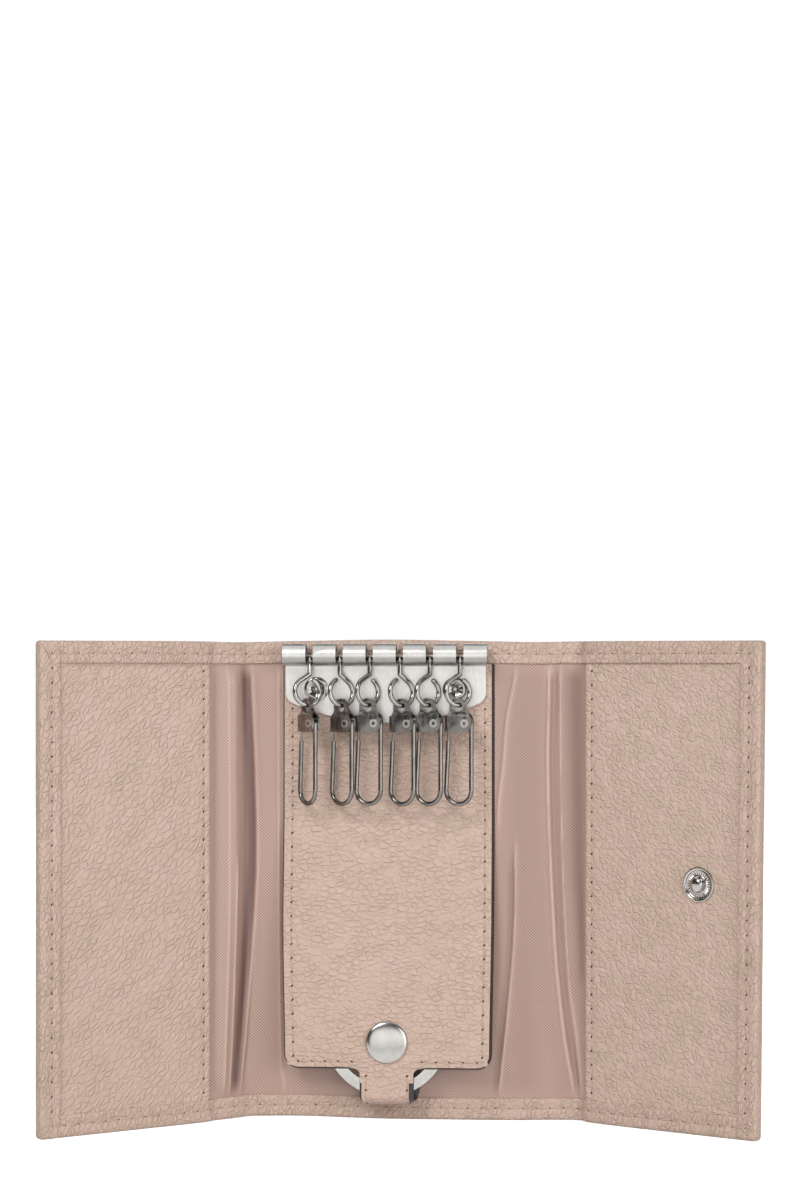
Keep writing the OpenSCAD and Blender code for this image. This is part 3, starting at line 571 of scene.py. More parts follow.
def makeShell(part, s):
    f, g = caseForm, shellForm
    side, flap, height, border = s["side"], part.endswith("Flap"), f["height"], f["border"]
    low, high = spanOf(part)
    fold = outerFoldAt(side) if flap else f["spineHalf"]
    ends = sorted((side * low, side * high))
    obj = block("shell_" + part, (ends[0], 0, 0), (ends[1], f["thick"], height))
    startEditing(obj)
    across = steps(fold - f["zone"], fold + f["zone"], g["foldStep"])
    if flap:
        across += steps(fold + f["zone"] + 0.8, high - border, g["flapStep"]) + [high - d for d in g["borderCuts"]]
    else:
        across += steps(4, fold - f["zone"] - 2, g["backStep"])
    cutAcross(0, [side * a for a in across])
    rows = g["borderCuts"] + [border]
    cutAcross(2, rows + [height - d for d in rows] + steps(border, height - border, g["backStep"])[1:-1])

    # open the split end, sink the inside, then open the new end again
    split = [side * low] if flap else [0, side * high]

    def atSplit(face):
        return abs(face.normal.x) > 0.9 and near(face.calc_center_median().x, *split)

    def inRecess(face):
        c = face.calc_center_median() / mm
        return face.normal.y < -0.9 and border < c.z < height - border and (not flap or abs(c.x) < high - border)

    pick(obj, "faces", atSplit)
    bpy.ops.mesh.delete(type="ONLY_FACE")
    pick(obj, "faces", inRecess)
    bpy.ops.mesh.extrude_region_move(TRANSFORM_OT_translate={"value": (0, g["recess"] * mm, 0)})
    pick(obj, "faces", atSplit)
    bpy.ops.mesh.delete(type="ONLY_FACE")

    # the flap's edge stands higher than the gusset's
    if flap:
        pressed(obj, lambda c: -raisedBy(abs(c.x) - fold) if c.y < 0.3 else 0)

    def along(z, points, slack):
        return all(abs(p.z - z) < slack for p in points)

    def outerEdge(e):
        a, b = points = [v.co / mm for v in e.verts]
        onLong = along(0, points, 0.01) or along(height, points, 0.01)
        onFree = flap and all(abs(abs(p.x) - high) < 0.01 for p in points)
        return (onLong and onFree) or ((onLong or onFree) and (a.y < 0.5) == (b.y < 0.5))

    pick(obj, "edges", outerEdge)
    bevel(g["edgeRound"], 4)

    def rim(e):
        a, b = points = [v.co / mm for v in e.verts]
        if max(a.y, b.y) > 0.3 or abs(a.y - b.y) > 0.45:
            return False
        onLong = along(border, points, 0.02) or along(height - border, points, 0.02)
        onSide = flap and all(abs(abs(p.x) - high + border) < 0.02 for p in points)
        within = all(not flap or abs(p.x) < high - border + 0.02 for p in points)
        between = all(border - 0.02 < p.z < height - border + 0.02 for p in points)
        return (onLong and within) or (onSide and between)

    pick(obj, "edges", rim)
    bevel(g["rimRound"], 3)

    # the turned edge of the side runs under the long ones, with a mitred fold in the upper left corner
    if flap:
        cutAcross(0, [side * (high - border + d) for d in (-0.3, -0.12, 0.12, 0.3)])
        pressed(obj, lambda c: g["underTurn"] if c.y < 0.2 and min(c.z, height - c.z) < border - 0.1
                and abs(high - abs(c.x) - border) < 0.2 else 0)
    if part == "leftFlap":
        m = g["mitre"]

        def corner(face):
            c = face.calc_center_median() / mm
            return c.y < 0.2 and face.normal.y < -0.3 and abs(c.x) > high - border and c.z > height - border

        def offMitre(c):
            return high + m["out"] - abs(c.x) - m["lean"] * (height - c.z)

        for offset in (-m["half"], 0, m["half"]):
            pick(obj, "faces", corner)
            bpy.ops.mesh.bisect(plane_co=(side * (high + m["out"] + offset) * mm, 0, height * mm),
                                plane_no=(side, 0, -m["lean"]))
        pressed(obj, lambda c: m["sunk"] if c.y < 0.2 and c.z > height - border and abs(offMitre(c)) < 0.06 else 0)

    closeEnds(obj, split)
    bpy.ops.mesh.select_all(action="SELECT")
    bpy.ops.mesh.normals_make_consistent(inside=False)
    stopEditing()

    def seam(c):
        d = min(c.z, height - c.z, high - abs(c.x) if flap else height)
        if d >= border + 0.3 or 0.3 <= c.y <= f["thick"] - 0.3:
            return 0
        return seamProfile(d) if c.y < 0.3 else -seamProfile(d)

    pressed(obj, seam)
    if part == "leftFlap":
        # the closing socket's hole, for the knob to enter
        h, y = g["socketHole"], f["thick"] - g["socketHole"]["depth"]
        bit = turned("bit", (side * (fold + h["pastFold"]), 0, h["z"]), [(h["radius"], y), (h["radius"], y + 3)], 24)
        applyModifier(obj, "BOOLEAN", object=bit, operation="DIFFERENCE", solver="EXACT")
        bpy.data.objects.remove(bit)
    smooth(obj, 42)
    settle(obj, foldedPlace)
    obj.data.materials.append(shellLeather)
    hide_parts(*s["replaces"])
    bendWithCase(obj, part)
    print("shell part", part, len(obj.data.polygons), "faces")


for part, s in shellParts.items():
    makeShell(part, s)

# Satin lining
satinForm = {
    "thick": 0.24, "tuck": 0.4, "column": 0.3, "rows": 72, "underFacing": 6, "highest": -1.6, "deepest": 0.1,
    # each crease: width, how far it stands up (-) or sinks (+), how much painted highlight (+) or painted shade (-)
    # its middle gets, where it starts and ends, its path as (z, u); those that neither stand up nor sink are painted
    # shade only
    "creases": [
        (2.1, -1.0, 0, 115, 0, [(108, -37.4), (86, -37.5), (62, -37.5), (38, -38.4), (20, -39.3), (5, -40.4)]),
        (1.3, 0.4, -1.1, 115, 0, [(108, -34), (86, -33.1), (62, -32.9), (38, -34.3), (20, -35.7), (5, -36.9)]),
        (0.5, -0.6, 0.55, 115, 0, [(108, -32.8), (86, -31.9), (62, -31.5), (38, -32.8), (20, -34.3), (5, -35.8)]),
        (2.8, -0.45, 0, 115, 0, [(108, -30.6), (86, -29.9), (62, -29.4), (38, -30.6), (20, -32.1), (5, -33.4)]),
        (0.32, -0.3, 0.5, 66, 0, [(60, -36.8), (38, -37.3), (20, -38), (5, -38.8)]),
        (0.36, -0.3, 0.35, 115, 0, [(108, -39.1), (62, -38.9), (38, -39.3), (5, -40.5)]),
        (0.45, -0.4, 0.35, 115, 0, [(100, -26.3), (40, -26.1), (12, -25.6), (5, -24.6)]),
        (0.9, 0, -0.35, 115, 0, [(108, -42.8), (62, -42.9), (5, -43.2)]),
        (0.45, -0.4, 0.4, 115, 68, [(108, 31.3), (97, 29.3), (86, 28.4), (75, 27.2)]),
        (0.45, -0.5, 0.5, 70, 0, [(60, 31.3), (44, 31), (26, 29.5), (5, 27.4)]),
        (0.8, 0.25, -0.25, 66, 0, [(60, 30.2), (44, 29.9), (26, 28.4), (5, 26.3)]),
        (0.5, -0.6, 0.6, 115, 0, [(108, 39.6), (86, 39.2), (62, 39.9), (38, 41.2), (20, 43.2), (5, 45.6)]),
        (2.4, -0.5, 0, 115, 0, [(108, 38.6), (86, 38.2), (62, 38.9), (38, 40.2), (20, 42.2), (5, 44.6)]),
        (0.7, 0.3, -0.3, 115, 0, [(108, 40.9), (86, 40.5), (62, 41.2), (38, 42.5), (20, 44.5), (5, 46.9)]),
        (0.4, -0.5, 0.5, 115, 0, [(104, 42.2), (80, 42.4), (56, 43), (32, 44.4), (20, 46), (5, 47.2)]),
        (1.8, 0, -0.5, 115, 30, [(108, 45.6), (60, 46.4), (40, 48)]),
        (4.5, 0, -0.2, 115, 0, [(108, 32.6), (60, 33), (5, 33.4)]),
        (3.5, 0, -0.2, 115, 0, [(108, 43.6), (60, 43.9), (5, 46)])]}


def pathAt(path, z):
    # a smooth line through points given as (z, u) from the top down
    i = 0
    while i < len(path) - 2 and z < path[i + 1][0]:
        i += 1
    (high, a), (low, b) = path[i], path[i + 1]
    before, after = path[max(0, i - 1)][1], path[min(len(path) - 1, i + 2)][1]
    t = min(1, max(0, (high - z) / (high - low)))
    return 0.5 * (2 * a + (b - before) * t + (2 * before - 5 * a + 4 * b - after) * t * t
                  + (3 * a - before - 3 * b + after) * t ** 3)


def creaseAt(u, z):
    # how far the satin stands out of its plane there, and how much painted highlight (+) or painted shade (-) it gets
    depth, tone = 0, 0
    fade = softStep((z - 4.5) / 5) * softStep((111.5 - z) / 5)
    fade *= softStep((outerFoldAt(1 if u > 0 else -1) + 2 - abs(u)) / 1.2)
    for width, lift, paintedTone, start, end, path in satinForm["creases"]:
        strength = softStep((start - z) / 8) * softStep((z - end) / 8) * fade
        if strength > 0:
            strength *= hump(u - pathAt(path, z), width)
            depth += lift * strength
            tone += paintedTone * strength
    return max(satinForm["highest"], min(satinForm["deepest"], depth)), tone


def makeLining(part, s):
    f, g = caseForm, satinForm
    low, high = spanOf(part)
    if part.endswith("Flap"):
        high = outerFoldAt(s["side"]) + g["underFacing"]
    bottom, top = f["border"] - g["tuck"], f["height"] - f["border"] + g["tuck"]
    clearSelection()
    middle = (s["side"] * (low + high) / 2 * mm, f["liningTop"] * mm, (bottom + top) / 2 * mm)
    bpy.ops.mesh.primitive_grid_add(
        x_subdivisions=round((high - low) / g["column"]), y_subdivisions=g["rows"], size=1, location=middle,
        rotation=(math.radians(90), 0, 0))
    bpy.context.active_object.scale = ((high - low) * mm, (top - bottom) * mm, 1)
    obj = named("satin_" + part)
    # each point keeps the painted highlight (+) or painted shade (-) that its creases give it
    paintedLight = obj.data.attributes.new("paintedLight", "FLOAT", "POINT")
    for v in obj.data.vertices:
        depth, tone = creaseAt(v.co.x / mm, v.co.z / mm)
        v.co.y += depth * mm
        paintedLight.data[v.index].value = tone
    applyModifier(obj, "SOLIDIFY", thickness=g["thick"] * mm, offset=-1)
    smooth(obj, 60)
    settle(obj, foldedPlace)
    obj.data.materials.append(roseSatin)
    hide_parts(*s["lining"])
    bendWithCase(obj, part)


for part, s in shellParts.items():
    makeLining(part, s)
print("lining ready")

# Pocket facings
facingForm = {"gap": 2.2, "stitchIn": 1.75, "tuck": 0.35, "thick": 0.8, "round": 0.3,
              "seamCuts": [0.7, 1.1, 1.45, 1.75, 2.05, 2.4, 3.2]}


def makeFacing(side):
    f, g = caseForm, facingForm
    word = "left" if side < 0 else "right"
    low, high = outerFoldAt(side) + g["gap"], freeEdgeAt(side) - f["border"] + g["tuck"]
    bottom, top = f["border"] - g["tuck"], f["height"] - f["border"] + g["tuck"]
    ends = sorted((side * low, side * high))
    obj = block("facing_" + word, (ends[0], f["facingTop"], bottom), (ends[1], f["facingTop"] + g["thick"], top))
    startEditing(obj)
    cutAcross(0, [side * (low + d) for d in g["seamCuts"]])
    cutAcross(0, [side * a for a in steps(low + 5, high - 1.2, 3.3)] + [side * (high - 0.75)])
    cutAcross(2, steps(bottom + 0.9, top - 0.9, 4.2))
    pick(obj, "edges", lambda e: all(near(v.co.x, side * low) for v in e.verts)
         and abs(e.verts[0].co.y - e.verts[1].co.y) < 0.05 * mm)
    bevel(g["round"], 3, False)
    stopEditing()

    def seam(c):
        # sunk at the stitches, crowned before them, and drawn up to the turned edge
        d = abs(c.x) - low
        return 0.15 * hump(d - g["stitchIn"], 0.38) - 0.06 * hump(d - 0.95, 0.45) - 0.3 * hump(high - abs(c.x), 2.2)

    pressed(obj, lambda c: seam(c) if c.y < 0.1 else 0)
    smooth(obj, 40)
    settle(obj, foldedPlace)
    obj.data.materials.append(facingLeather[side])
    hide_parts(word + "_facing")
    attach(obj, word + "_flap")


for side in (-1, 1):
    makeFacing(side)
print("facings ready")

# Hanging panel and its tab
panelForm = {
    "x": 0.65, "half": 25.7, "frontY": -1.85, "thick": 1.2, "top": 110.5, "bottom": 12.9, "corner": 3.5, "neck": 1.0,
    "bend": 74, "lean": 6.2, "zone": 3.0, "taper": {-1: 0.9, 1: 0.45}, "edgeRound": 0.24,
    "tabHalf": 6.5, "seam": 9.6, "loopStart": 6.91, "loopMid": 1.8, "loopY": 2.4, "tailEnd": -17.6, "tailFlat": 0.35,
    "tailShift": 1.5, "skive": {-1: 0.35, 0: 0.4, 1: 0.65}, "tabSkive": {-1: 0.4, 1: 1.0},
    "sideStitch": 2.3, "bottomStitch": 1.75, "tabStitch": 1.55, "pitch": 3.36, "rowTop": 99.6, "rowEnd": -9,
    # distances of the cuts: from the sides, from the tab's sides, from the middle, and up from the lower edge
    "sideCuts": (1.2, 1.9, 2.3, 2.7, 3.6), "tabCuts": (1.2, 1.55, 1.9), "columns": (9.5, 12.4, 15.3, 18.2),
    "lowCuts": (1.0, 1.4, 1.75, 2.1, 2.6)}


def leanPlace(x, v, q):
    # a point of the leaning panel: x across, v into it, q its height before it leans
    p = panelForm
    turn = -math.radians(p["lean"]) * softStep((p["bend"] + p["zone"] - q) / (2 * p["zone"]))
    y, z = v, q - p["bend"]
    return Vector((x + p["x"], p["frontY"] + y * math.cos(turn) - z * math.sin(turn),
                   p["bend"] + y * math.sin(turn) + z * math.cos(turn))) * mm


def panelWave(x, q):
    # the panel's own slack: a slow roll, more towards its free edge
    low = softStep((70 - q) / 40)
    return low * (0.22 * math.sin(x / 9 + q / 21) + 0.14 * math.sin(q / 9 - x / 17)) - 0.1 * low


def panelPlace(c):
    p = panelForm
    x, v, q = c[0] / mm, c[1] / mm, c[2] / mm
    fade = softStep((q - 9) / 8)
    side = 1 if x > 0 else -1
    narrow = p["taper"][side] * softStep((abs(x) - 9) / 12) * softStep((52 - q) / 40)
    return leanPlace(x - side * narrow, v + panelWave(x, q) * fade, q)


def loopPlace(c):
    # the tab runs down, turns back through the ring and ends behind the panel
    p = panelForm
    x, v, q = c[0] / mm, c[1] / mm, c[2] / mm
    run = p["loopStart"] - q
    arc = math.pi * p["loopMid"]
    shift = p["tailShift"] * softStep(run / (arc + 3))
    if run <= 0:
        return leanPlace(x, v, q)
    if run < arc:
        turn = run / p["loopMid"]
        r = p["loopY"] - v
        return leanPlace(x + shift, p["loopY"] - r * math.cos(turn), p["loopStart"] - r * math.sin(turn))
    return leanPlace(x + shift, 2 * p["loopY"] - v, p["loopStart"] + run - arc)


def skive(obj, half, bottom, amounts):
    # the back layers stand a little wider than the front one, so the painted edge slopes and shows
    reach, ease = 0.9, 0.5
    for v in obj.data.vertices:
        c = v.co / mm
        side = 1 if c.x > 0 else -1
        front = 1 - min(1, max(0, (c.y - 0.15) / 0.8))
        if half - abs(c.x) < reach and (bottom is None or c.z > bottom - 0.1):
            v.co.x -= side * amounts[side] * front * softStep((reach - half + abs(c.x)) / ease) * mm
        if bottom is not None and 0 <= c.z - bottom < reach and abs(c.x) > panelForm["tabHalf"] + 1:
            v.co.z += amounts[0] * front * softStep((reach - c.z + bottom) / ease) * mm


def paintEdges(obj, backShadedToo=False):
    obj.data.materials.append(panelLeather)
    obj.data.materials.append(edgePaintAndShade)
    # the sides take the edge paint; with the back too, the dark paint on the back is painted shade
    for face in obj.data.polygons:
        if face.area > 1e-12 and (face.normal.y > -0.9 if backShadedToo else abs(face.normal.y) < 0.9):
            face.material_index = 1


def cornerAt(half, z):
    return lambda e: all(near(abs(v.co.x), half) and near(v.co.z, z) for v in e.verts)


def cutSides(half, insets):
    cutAcross(0, [side * (half - d) for side in (-1, 1) for d in insets])


def roundRims(obj):
    # rounds the leather's edges, but not where the panel runs on into its tab
    def onRim(e):
        a, b = (v.co for v in e.verts)
        if len(e.link_faces) != 2 or e.calc_face_angle(0) <= 1.0 or abs(a.y - b.y) >= 0.1 * mm:
            return False
        return not (near(a.z, panelForm["seam"]) and near(b.z, panelForm["seam"]))

    pick(obj, "edges", onRim)
    bevel(panelForm["edgeRound"], 3)


def makePanel():
    p = panelForm
    h, t, b = p["half"], p["tabHalf"], p["bottom"]
    obj = block("hangingPanel", (-h, 0, b), (h, p["thick"], p["top"]))
    startEditing(obj)
    cutAcross(0, [-t, t])
    pick(obj, "faces", lambda face: face.normal.z < -0.9 and abs(face.calc_center_median().x) < t * mm)
    bpy.ops.mesh.extrude_region_move(TRANSFORM_OT_translate={"value": (0, 0, (p["seam"] - b) * mm)})
    pick(obj, "edges", cornerAt(h, b))
    bevel(p["corner"], 7, False)
    pick(obj, "edges", cornerAt(t, b))
    bevel(p["neck"], 4, False)
    cutSides(h, p["sideCuts"])
    cutSides(t, p["tabCuts"])
    cutAcross(0, [0] + [side * a for side in (-1, 1) for a in p["columns"]])
    cutAcross(2, [b + d for d in p["lowCuts"]] + steps(b + 5.4, p["top"] - 2, 2.9) + [b - 1.2, b - 2.4])
    roundRims(obj)
    stopEditing()
    skive(obj, h, b, p["skive"])
    paintEdges(obj)

    def groove(c):
        # the stitches draw the front in along the sides, the lower edge and the tab
        if c.y >= 0.4:
            return 0
        sides = 0.13 * hump(h - abs(c.x) - p["sideStitch"], 0.4) * softStep(c.z - b - 1.2) if c.z > b else 0
        lower = 0.13 * hump(c.z - b - p["bottomStitch"], 0.36) * softStep(h - abs(c.x) - 1.6) if abs(c.x) > t else 0
        tab = 0.12 * hump(t - abs(c.x) - p["tabStitch"], 0.36) if c.z < b + 1.4 else 0
        return max(sides, lower, tab)

    pressed(obj, groove)
    smooth(obj, 40)
    settle(obj, panelPlace)
    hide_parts("panel_upper", "panel_upper_backing", "panel_lower", "panel_lower_backing")
    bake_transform(obj)


def makeTabLoop():
    p = panelForm
    t = p["tabHalf"]
    obj = block("tabLoop", (-t, 0, p["tailEnd"]), (t, p["thick"], p["seam"]))
    startEditing(obj)
    pick(obj, "edges", cornerAt(t, p["tailEnd"]))
    bevel(t - p["tailFlat"], 12, False)
    cutSides(t, p["tabCuts"] + (4,))
    cutAcross(0, [0])
    cutAcross(2, [9.0, 8.2] + steps(0.4, 7.6, 0.45) + steps(-16, -0.6, 1.6))
    roundRims(obj)
    stopEditing()
    # the rounding leaves no point outside the leather's thickness
    for v in obj.data.vertices:
        v.co.y = min(p["thick"] * mm, max(0, v.co.y))
    skive(obj, t, None, p["tabSkive"])
    # the back, and so the loop's inside, takes the dark edge paint as painted shade inside the loop
    paintEdges(obj, True)
    pressed(obj, lambda c: 0.12 * hump(t - abs(c.x) - p["tabStitch"], 0.36) if c.y < 0.4 and c.z > -11 else 0)
    smooth(obj, 40)
    settle(obj, loopPlace)
    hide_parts("tab_tail")
    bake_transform(obj)


makePanel()
makeTabLoop()
print("panel ready")

# Stitching
stitchForm = {"length": 2.7, "wide": 0.44, "deep": 0.36, "hole": (0.8, 0.26, 0.46), "sunk": 0.19,
              "facingRow": (7.2, 108.8), "facingSunk": 0.13, "panelSunk": 0.12, "tabSunk": 0.11}


def bead(name, segments, rotation):
    clearSelection()
    bpy.ops.mesh.primitive_uv_sphere_add(segments=segments, ring_count=4, radius=0.5, rotation=rotation)
    return named(name)


def finishBead(obj, size, material):
    # size: what to stretch it by along x, y and z, in millimetres
    for v in obj.data.vertices:
        v.co = Vector((v.co.x * size[0], v.co.y * size[1], v.co.z * size[2])) * mm
    obj.data.materials.append(material)
    for face in obj.data.polygons:
        face.use_smooth = True
    return obj


def makeStitchStarts():
    # one thread stitch and one needle hole, both lying along x; the hole is a dark bead, painted shade where the
    # needle went through
    s = stitchForm
    stitch = bead("stitch", 6, (0, math.radians(90), 0))
    startEditing(stitch)
    for side in (-1, 1):
        pick(stitch, "verts", lambda v: v.co.x * side > 0.1)
        bpy.ops.transform.translate(value=(side * (s["length"] / s["wide"] - 1) / 2, 0, 0))
    stopEditing()
    finishBead(stitch, (s["wide"], s["deep"], s["wide"]), thread)
    return stitch, finishBead(bead("needleHole", 8, (math.radians(90), 0, 0)), s["hole"], needleShade)


stitchStart, holeStart = makeStitchStarts()


def copyAt(start, place, turn, size=1.0):
    obj = start.copy()
    obj.data = start.data.copy()
    bpy.context.scene.collection.objects.link(obj)
    rotation = Matrix.Rotation(math.radians(turn), 4, "Y")
    obj.matrix_world = Matrix.Translation(Vector(place) * mm) @ rotation @ Matrix.Scale(size, 4)
    return obj


def stitchRow(places, turn, depth, slant, holeTurn, facing=-1, size=1.0):
    # places: the (x, z) of the needle holes in order, on the flat piece; depth(x, z) is the surface's y there
    made = []
    for i, (x, z) in enumerate(places):
        made.append(copyAt(holeStart, (x, depth(x, z) + facing * 0.01, z), -turn - holeTurn, size))
        if i + 1 < len(places):
            nx, nz = places[i + 1]
            cx, cz = (x + nx) / 2, (z + nz) / 2
            made.append(copyAt(stitchStart, (cx, depth(cx, cz) + facing * 0.02, cz), -turn - slant))
    return made


def borderFront(x, z):
    side = 1 if x >= 0 else -1
    return stitchForm["sunk"] - raisedBy(abs(x) - outerFoldAt(side))


def borderBack(x, z):
    return caseForm["thick"] - stitchForm["sunk"]


def rowAlong(a, b, pitch):
    # evenly spaced places from a to b, both kept
    length = math.dist(a, b)
    count = max(1, round(length / pitch))
    return [(a[0] + (b[0] - a[0]) * i / count, a[1] + (b[1] - a[1]) * i / count) for i in range(count + 1)]


def makeShellStitches(part, s):
    f = caseForm
    side, flap, d = s["side"], part.endswith("Flap"), f["stitchIn"]
    low, high = spanOf(part)
    if flap:
        high -= d
    made = []
    for depth, facing in ((borderFront, -1), (borderBack, 1)):
        for z in (d, f["height"] - d):
            row = rowAlong((side * high, z), (side * low, z), f["pitch"])
            made += stitchRow(row, 0, depth, 4, 25, facing, 0.72)
        if flap:
            made += stitchRow(rowAlong((side * high, d), (side * high, f["height"] - d), f["pitch"])[1:-1],
                              90, depth, 5, -35, facing)
    if flap:
        x = side * (outerFoldAt(side) + facingForm["gap"] + facingForm["stitchIn"])
        bottom, top = stitchForm["facingRow"]
        sunk = f["facingTop"] + stitchForm["facingSunk"]
        made += stitchRow(rowAlong((x, bottom), (x, top), f["pitch"]), 90, lambda a, b: sunk, 5, -40)
    obj = joined(made, "stitching_" + part)
    settle(obj, foldedPlace)
    bendWithCase(obj, part)
    print("stitches on", part, len(made))


for part, s in shellParts.items():
    makeShellStitches(part, s)


def makePanelStitches():
    p = panelForm
    b = p["bottom"] + p["bottomStitch"]
    panelRows, tabRows = [], []
    for side in (-1, 1):
        x, tab = side * (p["half"] - p["sideStitch"]), side * (p["tabHalf"] - p["tabStitch"])
        down = rowAlong((x, p["rowTop"]), (x, b + 1.2), p["pitch"])
        across = rowAlong((x - side * 1.2, b), (tab, b), p["pitch"])
        around = rowAlong((tab, b), (tab, p["rowEnd"]), p["pitch"])[1:]
        panelRows += stitchRow(down, 90, lambda a, c: stitchForm["panelSunk"], 4, -50)
        panelRows += stitchRow(across, 0, lambda a, c: stitchForm["panelSunk"], 4, -35, -1, 0.9)
        tabRows += stitchRow(around, 90, lambda a, c: stitchForm["tabSunk"], 4, -50)
    obj = joined(panelRows, "stitching_panel")
    settle(obj, panelPlace)
    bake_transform(obj)
    obj = joined(tabRows, "stitching_tab")
    settle(obj, loopPlace)
    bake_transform(obj)


makePanelStitches()
for start in (stitchStart, holeStart):
    bpy.data.objects.remove(start)
print("stitching ready")

# Metal parts that keep their own shapes, by how their names start
metalFinish = {"rail_plate": brushedSteel, "clip_rivet": brushedSteel, "clip_body": smokedNickel,
               "clip_bail": wireNickel, "key_hook": darkNickel, "split_ring": paleNickel,
               "panel_snap_socket": paleNickel, "tail_snap": paleNickel, "closing_socket": paleNickel}


def finishNode(name, material, crease):
    obj = nodes[name]
    obj.data.materials.clear()
    obj.data.materials.append(material)
    for face in obj.data.polygons:
        face.material_index = 0
        face.use_smooth = True
    weld = obj.modifiers.new("weld", "WELD")
    weld.merge_threshold = 0.000001
    split = obj.modifiers.new("split", "EDGE_SPLIT")
    split.split_angle = math.radians(crease)


for name in nodes:
    for start, material in metalFinish.items():
        if name.startswith(start):
            finishNode(name, material, 58 if start == "clip_body" else 35)

# Turned metal: (radius, y) from the back forwards
capProfile = [
    (1.0, 1.0), (1.0, 0.1), (4.3, 0.08), (4.85, -0.05), (5.0, -0.3), (5.0, -0.5), (4.9, -0.7), (4.7, -0.84),
    (4.4, -0.93), (4.0, -1.0), (3.3, -1.08), (2.4, -1.14), (1.3, -1.18), (0.3, -1.2)]
studProfile = [
    (0.95, 0.9), (0.95, 0.1), (3.85, 0.08), (4.08, -0.08), (4.15, -0.26), (4.05, -0.42), (3.85, -0.48),
    (3.62, -0.43), (3.46, -0.32), (3.34, -0.18), (3.15, -0.1), (2.7, -0.08), (2.35, -0.1), (2.2, -0.18),
    (2.1, -0.28), (1.95, -0.3), (1.75, -0.24), (1.48, -0.28), (1.44, -0.8), (1.58, -1.0), (1.68, -1.25),
    (1.66, -1.5), (1.46, -1.72), (1.1, -1.88), (0.6, -1.97), (0.15, -1.99)]
studAt = {"x": outerFoldAt(1) + 33.43, "z": 58.8}
snapHeight = 19.3


def finishTurned(obj, place, name, material=paleNickel):
    smooth(obj, 38)
    if place:
        settle(obj, place)
    obj.data.materials.append(material)
    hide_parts(name)


def makeSnapCap():
    obj = turned("snapCap", (0, 0, snapHeight), capProfile, 64)
    finishTurned(obj, panelPlace, "panel_snap_cap")
    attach(obj, "key_panel")


def makeClosingStud():
    centre = (studAt["x"], caseForm["facingTop"], studAt["z"])
    obj = turned("closingStud", centre, studProfile, 60)
    ribbed(obj, centre, (2.3, 3.2), 30, 0.12)
    finishTurned(obj, foldedPlace, "closing_stud")
    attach(obj, "right_flap")


def makeClosingCap():
    # made facing forwards, then turned to the outside of the flap
    obj = turned("closingStudCap", (0, 0, 0), capProfile, 64)
    for v in obj.data.vertices:
        v.co = Vector((studAt["x"] * mm - v.co.x, caseForm["thick"] * mm - v.co.y, v.co.z + studAt["z"] * mm))
    finishTurned(obj, foldedPlace, "closing_stud_cap")
    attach(obj, "right_flap")


def makeRailRivets():
    # tubular rivets, their ends split in a star and rolled flat on the plate
    low, high = (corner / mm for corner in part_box("rail_rivets"))
    back, front, half = high.y - low.y, 0.0, (high.z - low.z) / 2
    made = []
    for x in (low.x + half, high.x - half):
        centre = (x, low.y, (low.z + high.z) / 2)
        profile = [(half - 0.3, back), (half, back - 0.15), (half, back - 0.45), (1.5, back - 0.5), (1.5, 0.7),
                   (half - 0.15, 0.68), (half, 0.5), (half - 0.08, 0.25), (half - 0.4, 0.05), (half - 0.9, front),
                   (half - 1.3, 0.08), (1.1, 0.3), (0.7, 0.62), (0.4, 0.9)]
        rivet = turned("rivet", centre, profile, 48)
        ribbed(rivet, centre, (1.0, half - 1.0), 6, 0.09)
        made.append(rivet)
    obj = joined(made, "railRivets")
    finishTurned(obj, None, "rail_rivets", darkNickel)
    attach(obj, "spine")


makeSnapCap()
makeClosingStud()
makeClosingCap()
makeRailRivets()
print("metal ready")

# Floor, light and world
studio = {
    "floorTone": 0.62, "floorGlow": 0.86, "worldLight": 0.34,
    # name, place, aim, width, height, power
    "lamps": [("keyLight", (-0.36, -0.86, 0.74), (0, 0, 0.05), 0.42, 0.42, 5.8),
              ("fillLight", (0.85, -0.9, 0.34), (0, 0, 0.06), 1.1, 0.8, 7.3),
              ("frontLight", (0.02, -1.35, 0.22), (0, 0, 0.08), 0.9, 0.32, 1.75),
              ("backLight", (0.25, 1.15, 0.45), (0, 0, 0.06), 0.9, 0.7, 6.0)],
    "screenRadius": 2.0, "screenHeight": 3.0, "screenTone": (0.045, 0.043, 0.042)}


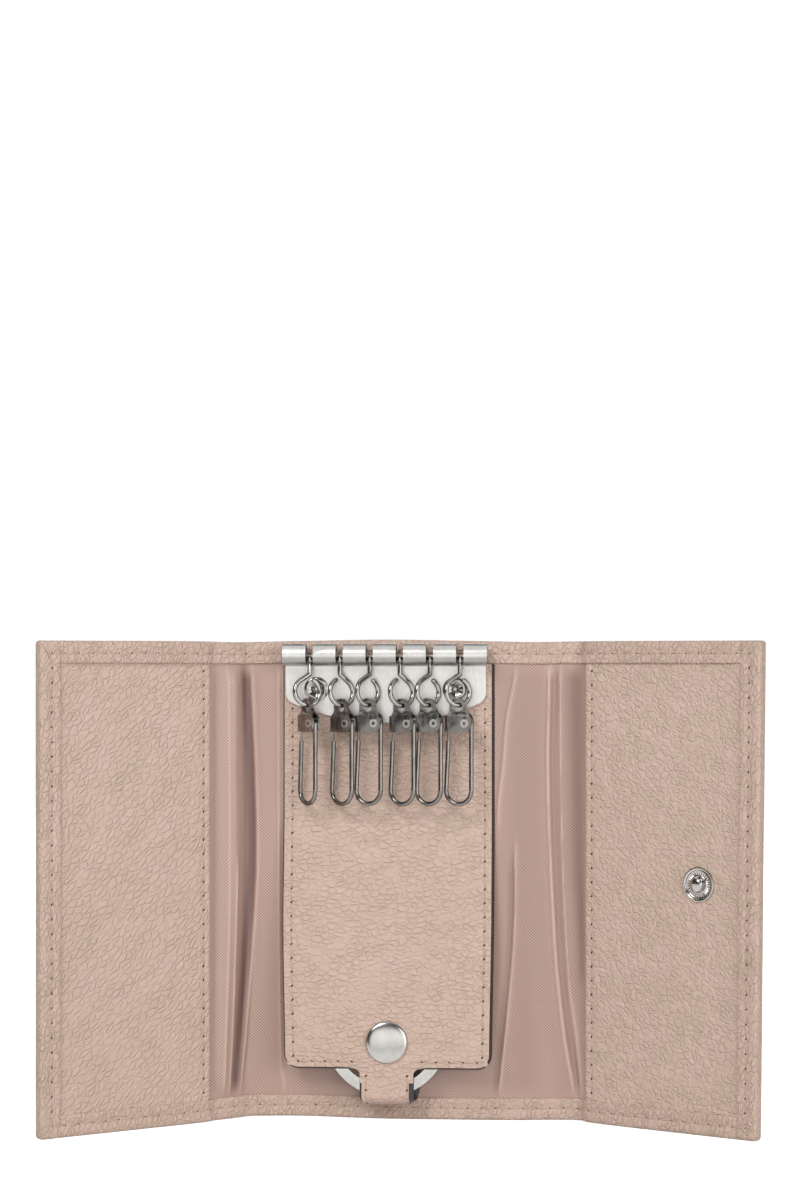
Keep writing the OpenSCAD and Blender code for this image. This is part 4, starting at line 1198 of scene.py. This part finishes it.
def seenDirectly(tree):
    path = node(tree, "LightPath")
    seen = calc(tree, "MAXIMUM", path.outputs["Is Camera Ray"], path.outputs["Is Glossy Ray"])
    return calc(tree, "MAXIMUM", seen, path.outputs["Is Transmission Ray"])


def makeStage(s):
    clearSelection()
    bpy.ops.mesh.primitive_plane_add(size=30, location=(0, 0, 0))
    floor = named("floor")
    material, tree, shader = newMaterial("paleFloor")
    feed(tree, shader, {"Base Color": (s["floorTone"],) * 3 + (1,), "Roughness": 0.9, "Specular IOR Level": 0.0})
    glow = node(tree, "Emission", None,
                {"Color": (1, 1, 1, 1), "Strength": times(tree, seenDirectly(tree), s["floorGlow"])})
    both = node(tree, "AddShader", None, {0: shader.outputs[0], 1: glow.outputs[0]})
    feed(tree, tree.nodes["Material Output"], {"Surface": both.outputs[0]})
    floor.data.materials.append(material)

    # a dark screen round the set, which only reflections see, so that metal has edges
    clearSelection()
    bpy.ops.mesh.primitive_cylinder_add(
        vertices=64, radius=s["screenRadius"], depth=s["screenHeight"], end_fill_type="NOTHING",
        location=(0, 0, s["screenHeight"] / 2 + 0.02))
    screen = named("darkScreen")
    material, tree, shader = newMaterial("darkCloth")
    feed(tree, shader, {"Base Color": s["screenTone"] + (1,), "Roughness": 1.0})
    screen.data.materials.append(material)
    for kind in ("camera", "diffuse", "shadow", "transmission", "volume_scatter"):
        setattr(screen, "visible_" + kind, False)

    world = bpy.data.worlds.new("studio")
    bpy.context.scene.world = world
    world.use_nodes = True
    tree = world.node_tree
    strength = remap(tree, seenDirectly(tree), 0.0, 1.0, s["worldLight"], 1.0)
    feed(tree, tree.nodes["Background"], {"Strength": strength, "Color": (1, 1, 1, 1)})

    for name, place, aim, width, height, power in s["lamps"]:
        data = bpy.data.lights.new(name, "AREA")
        data.shape, data.size, data.size_y, data.energy = "RECTANGLE", width, height, power
        lamp = bpy.data.objects.new(name, data)
        bpy.context.scene.collection.objects.link(lamp)
        lamp.location = place
        lamp.rotation_euler = (Vector(aim) - Vector(place)).to_track_quat("-Z", "Y").to_euler()


makeStage(studio)
bpy.context.scene.view_settings.view_transform = "Standard"
print("scene ready")
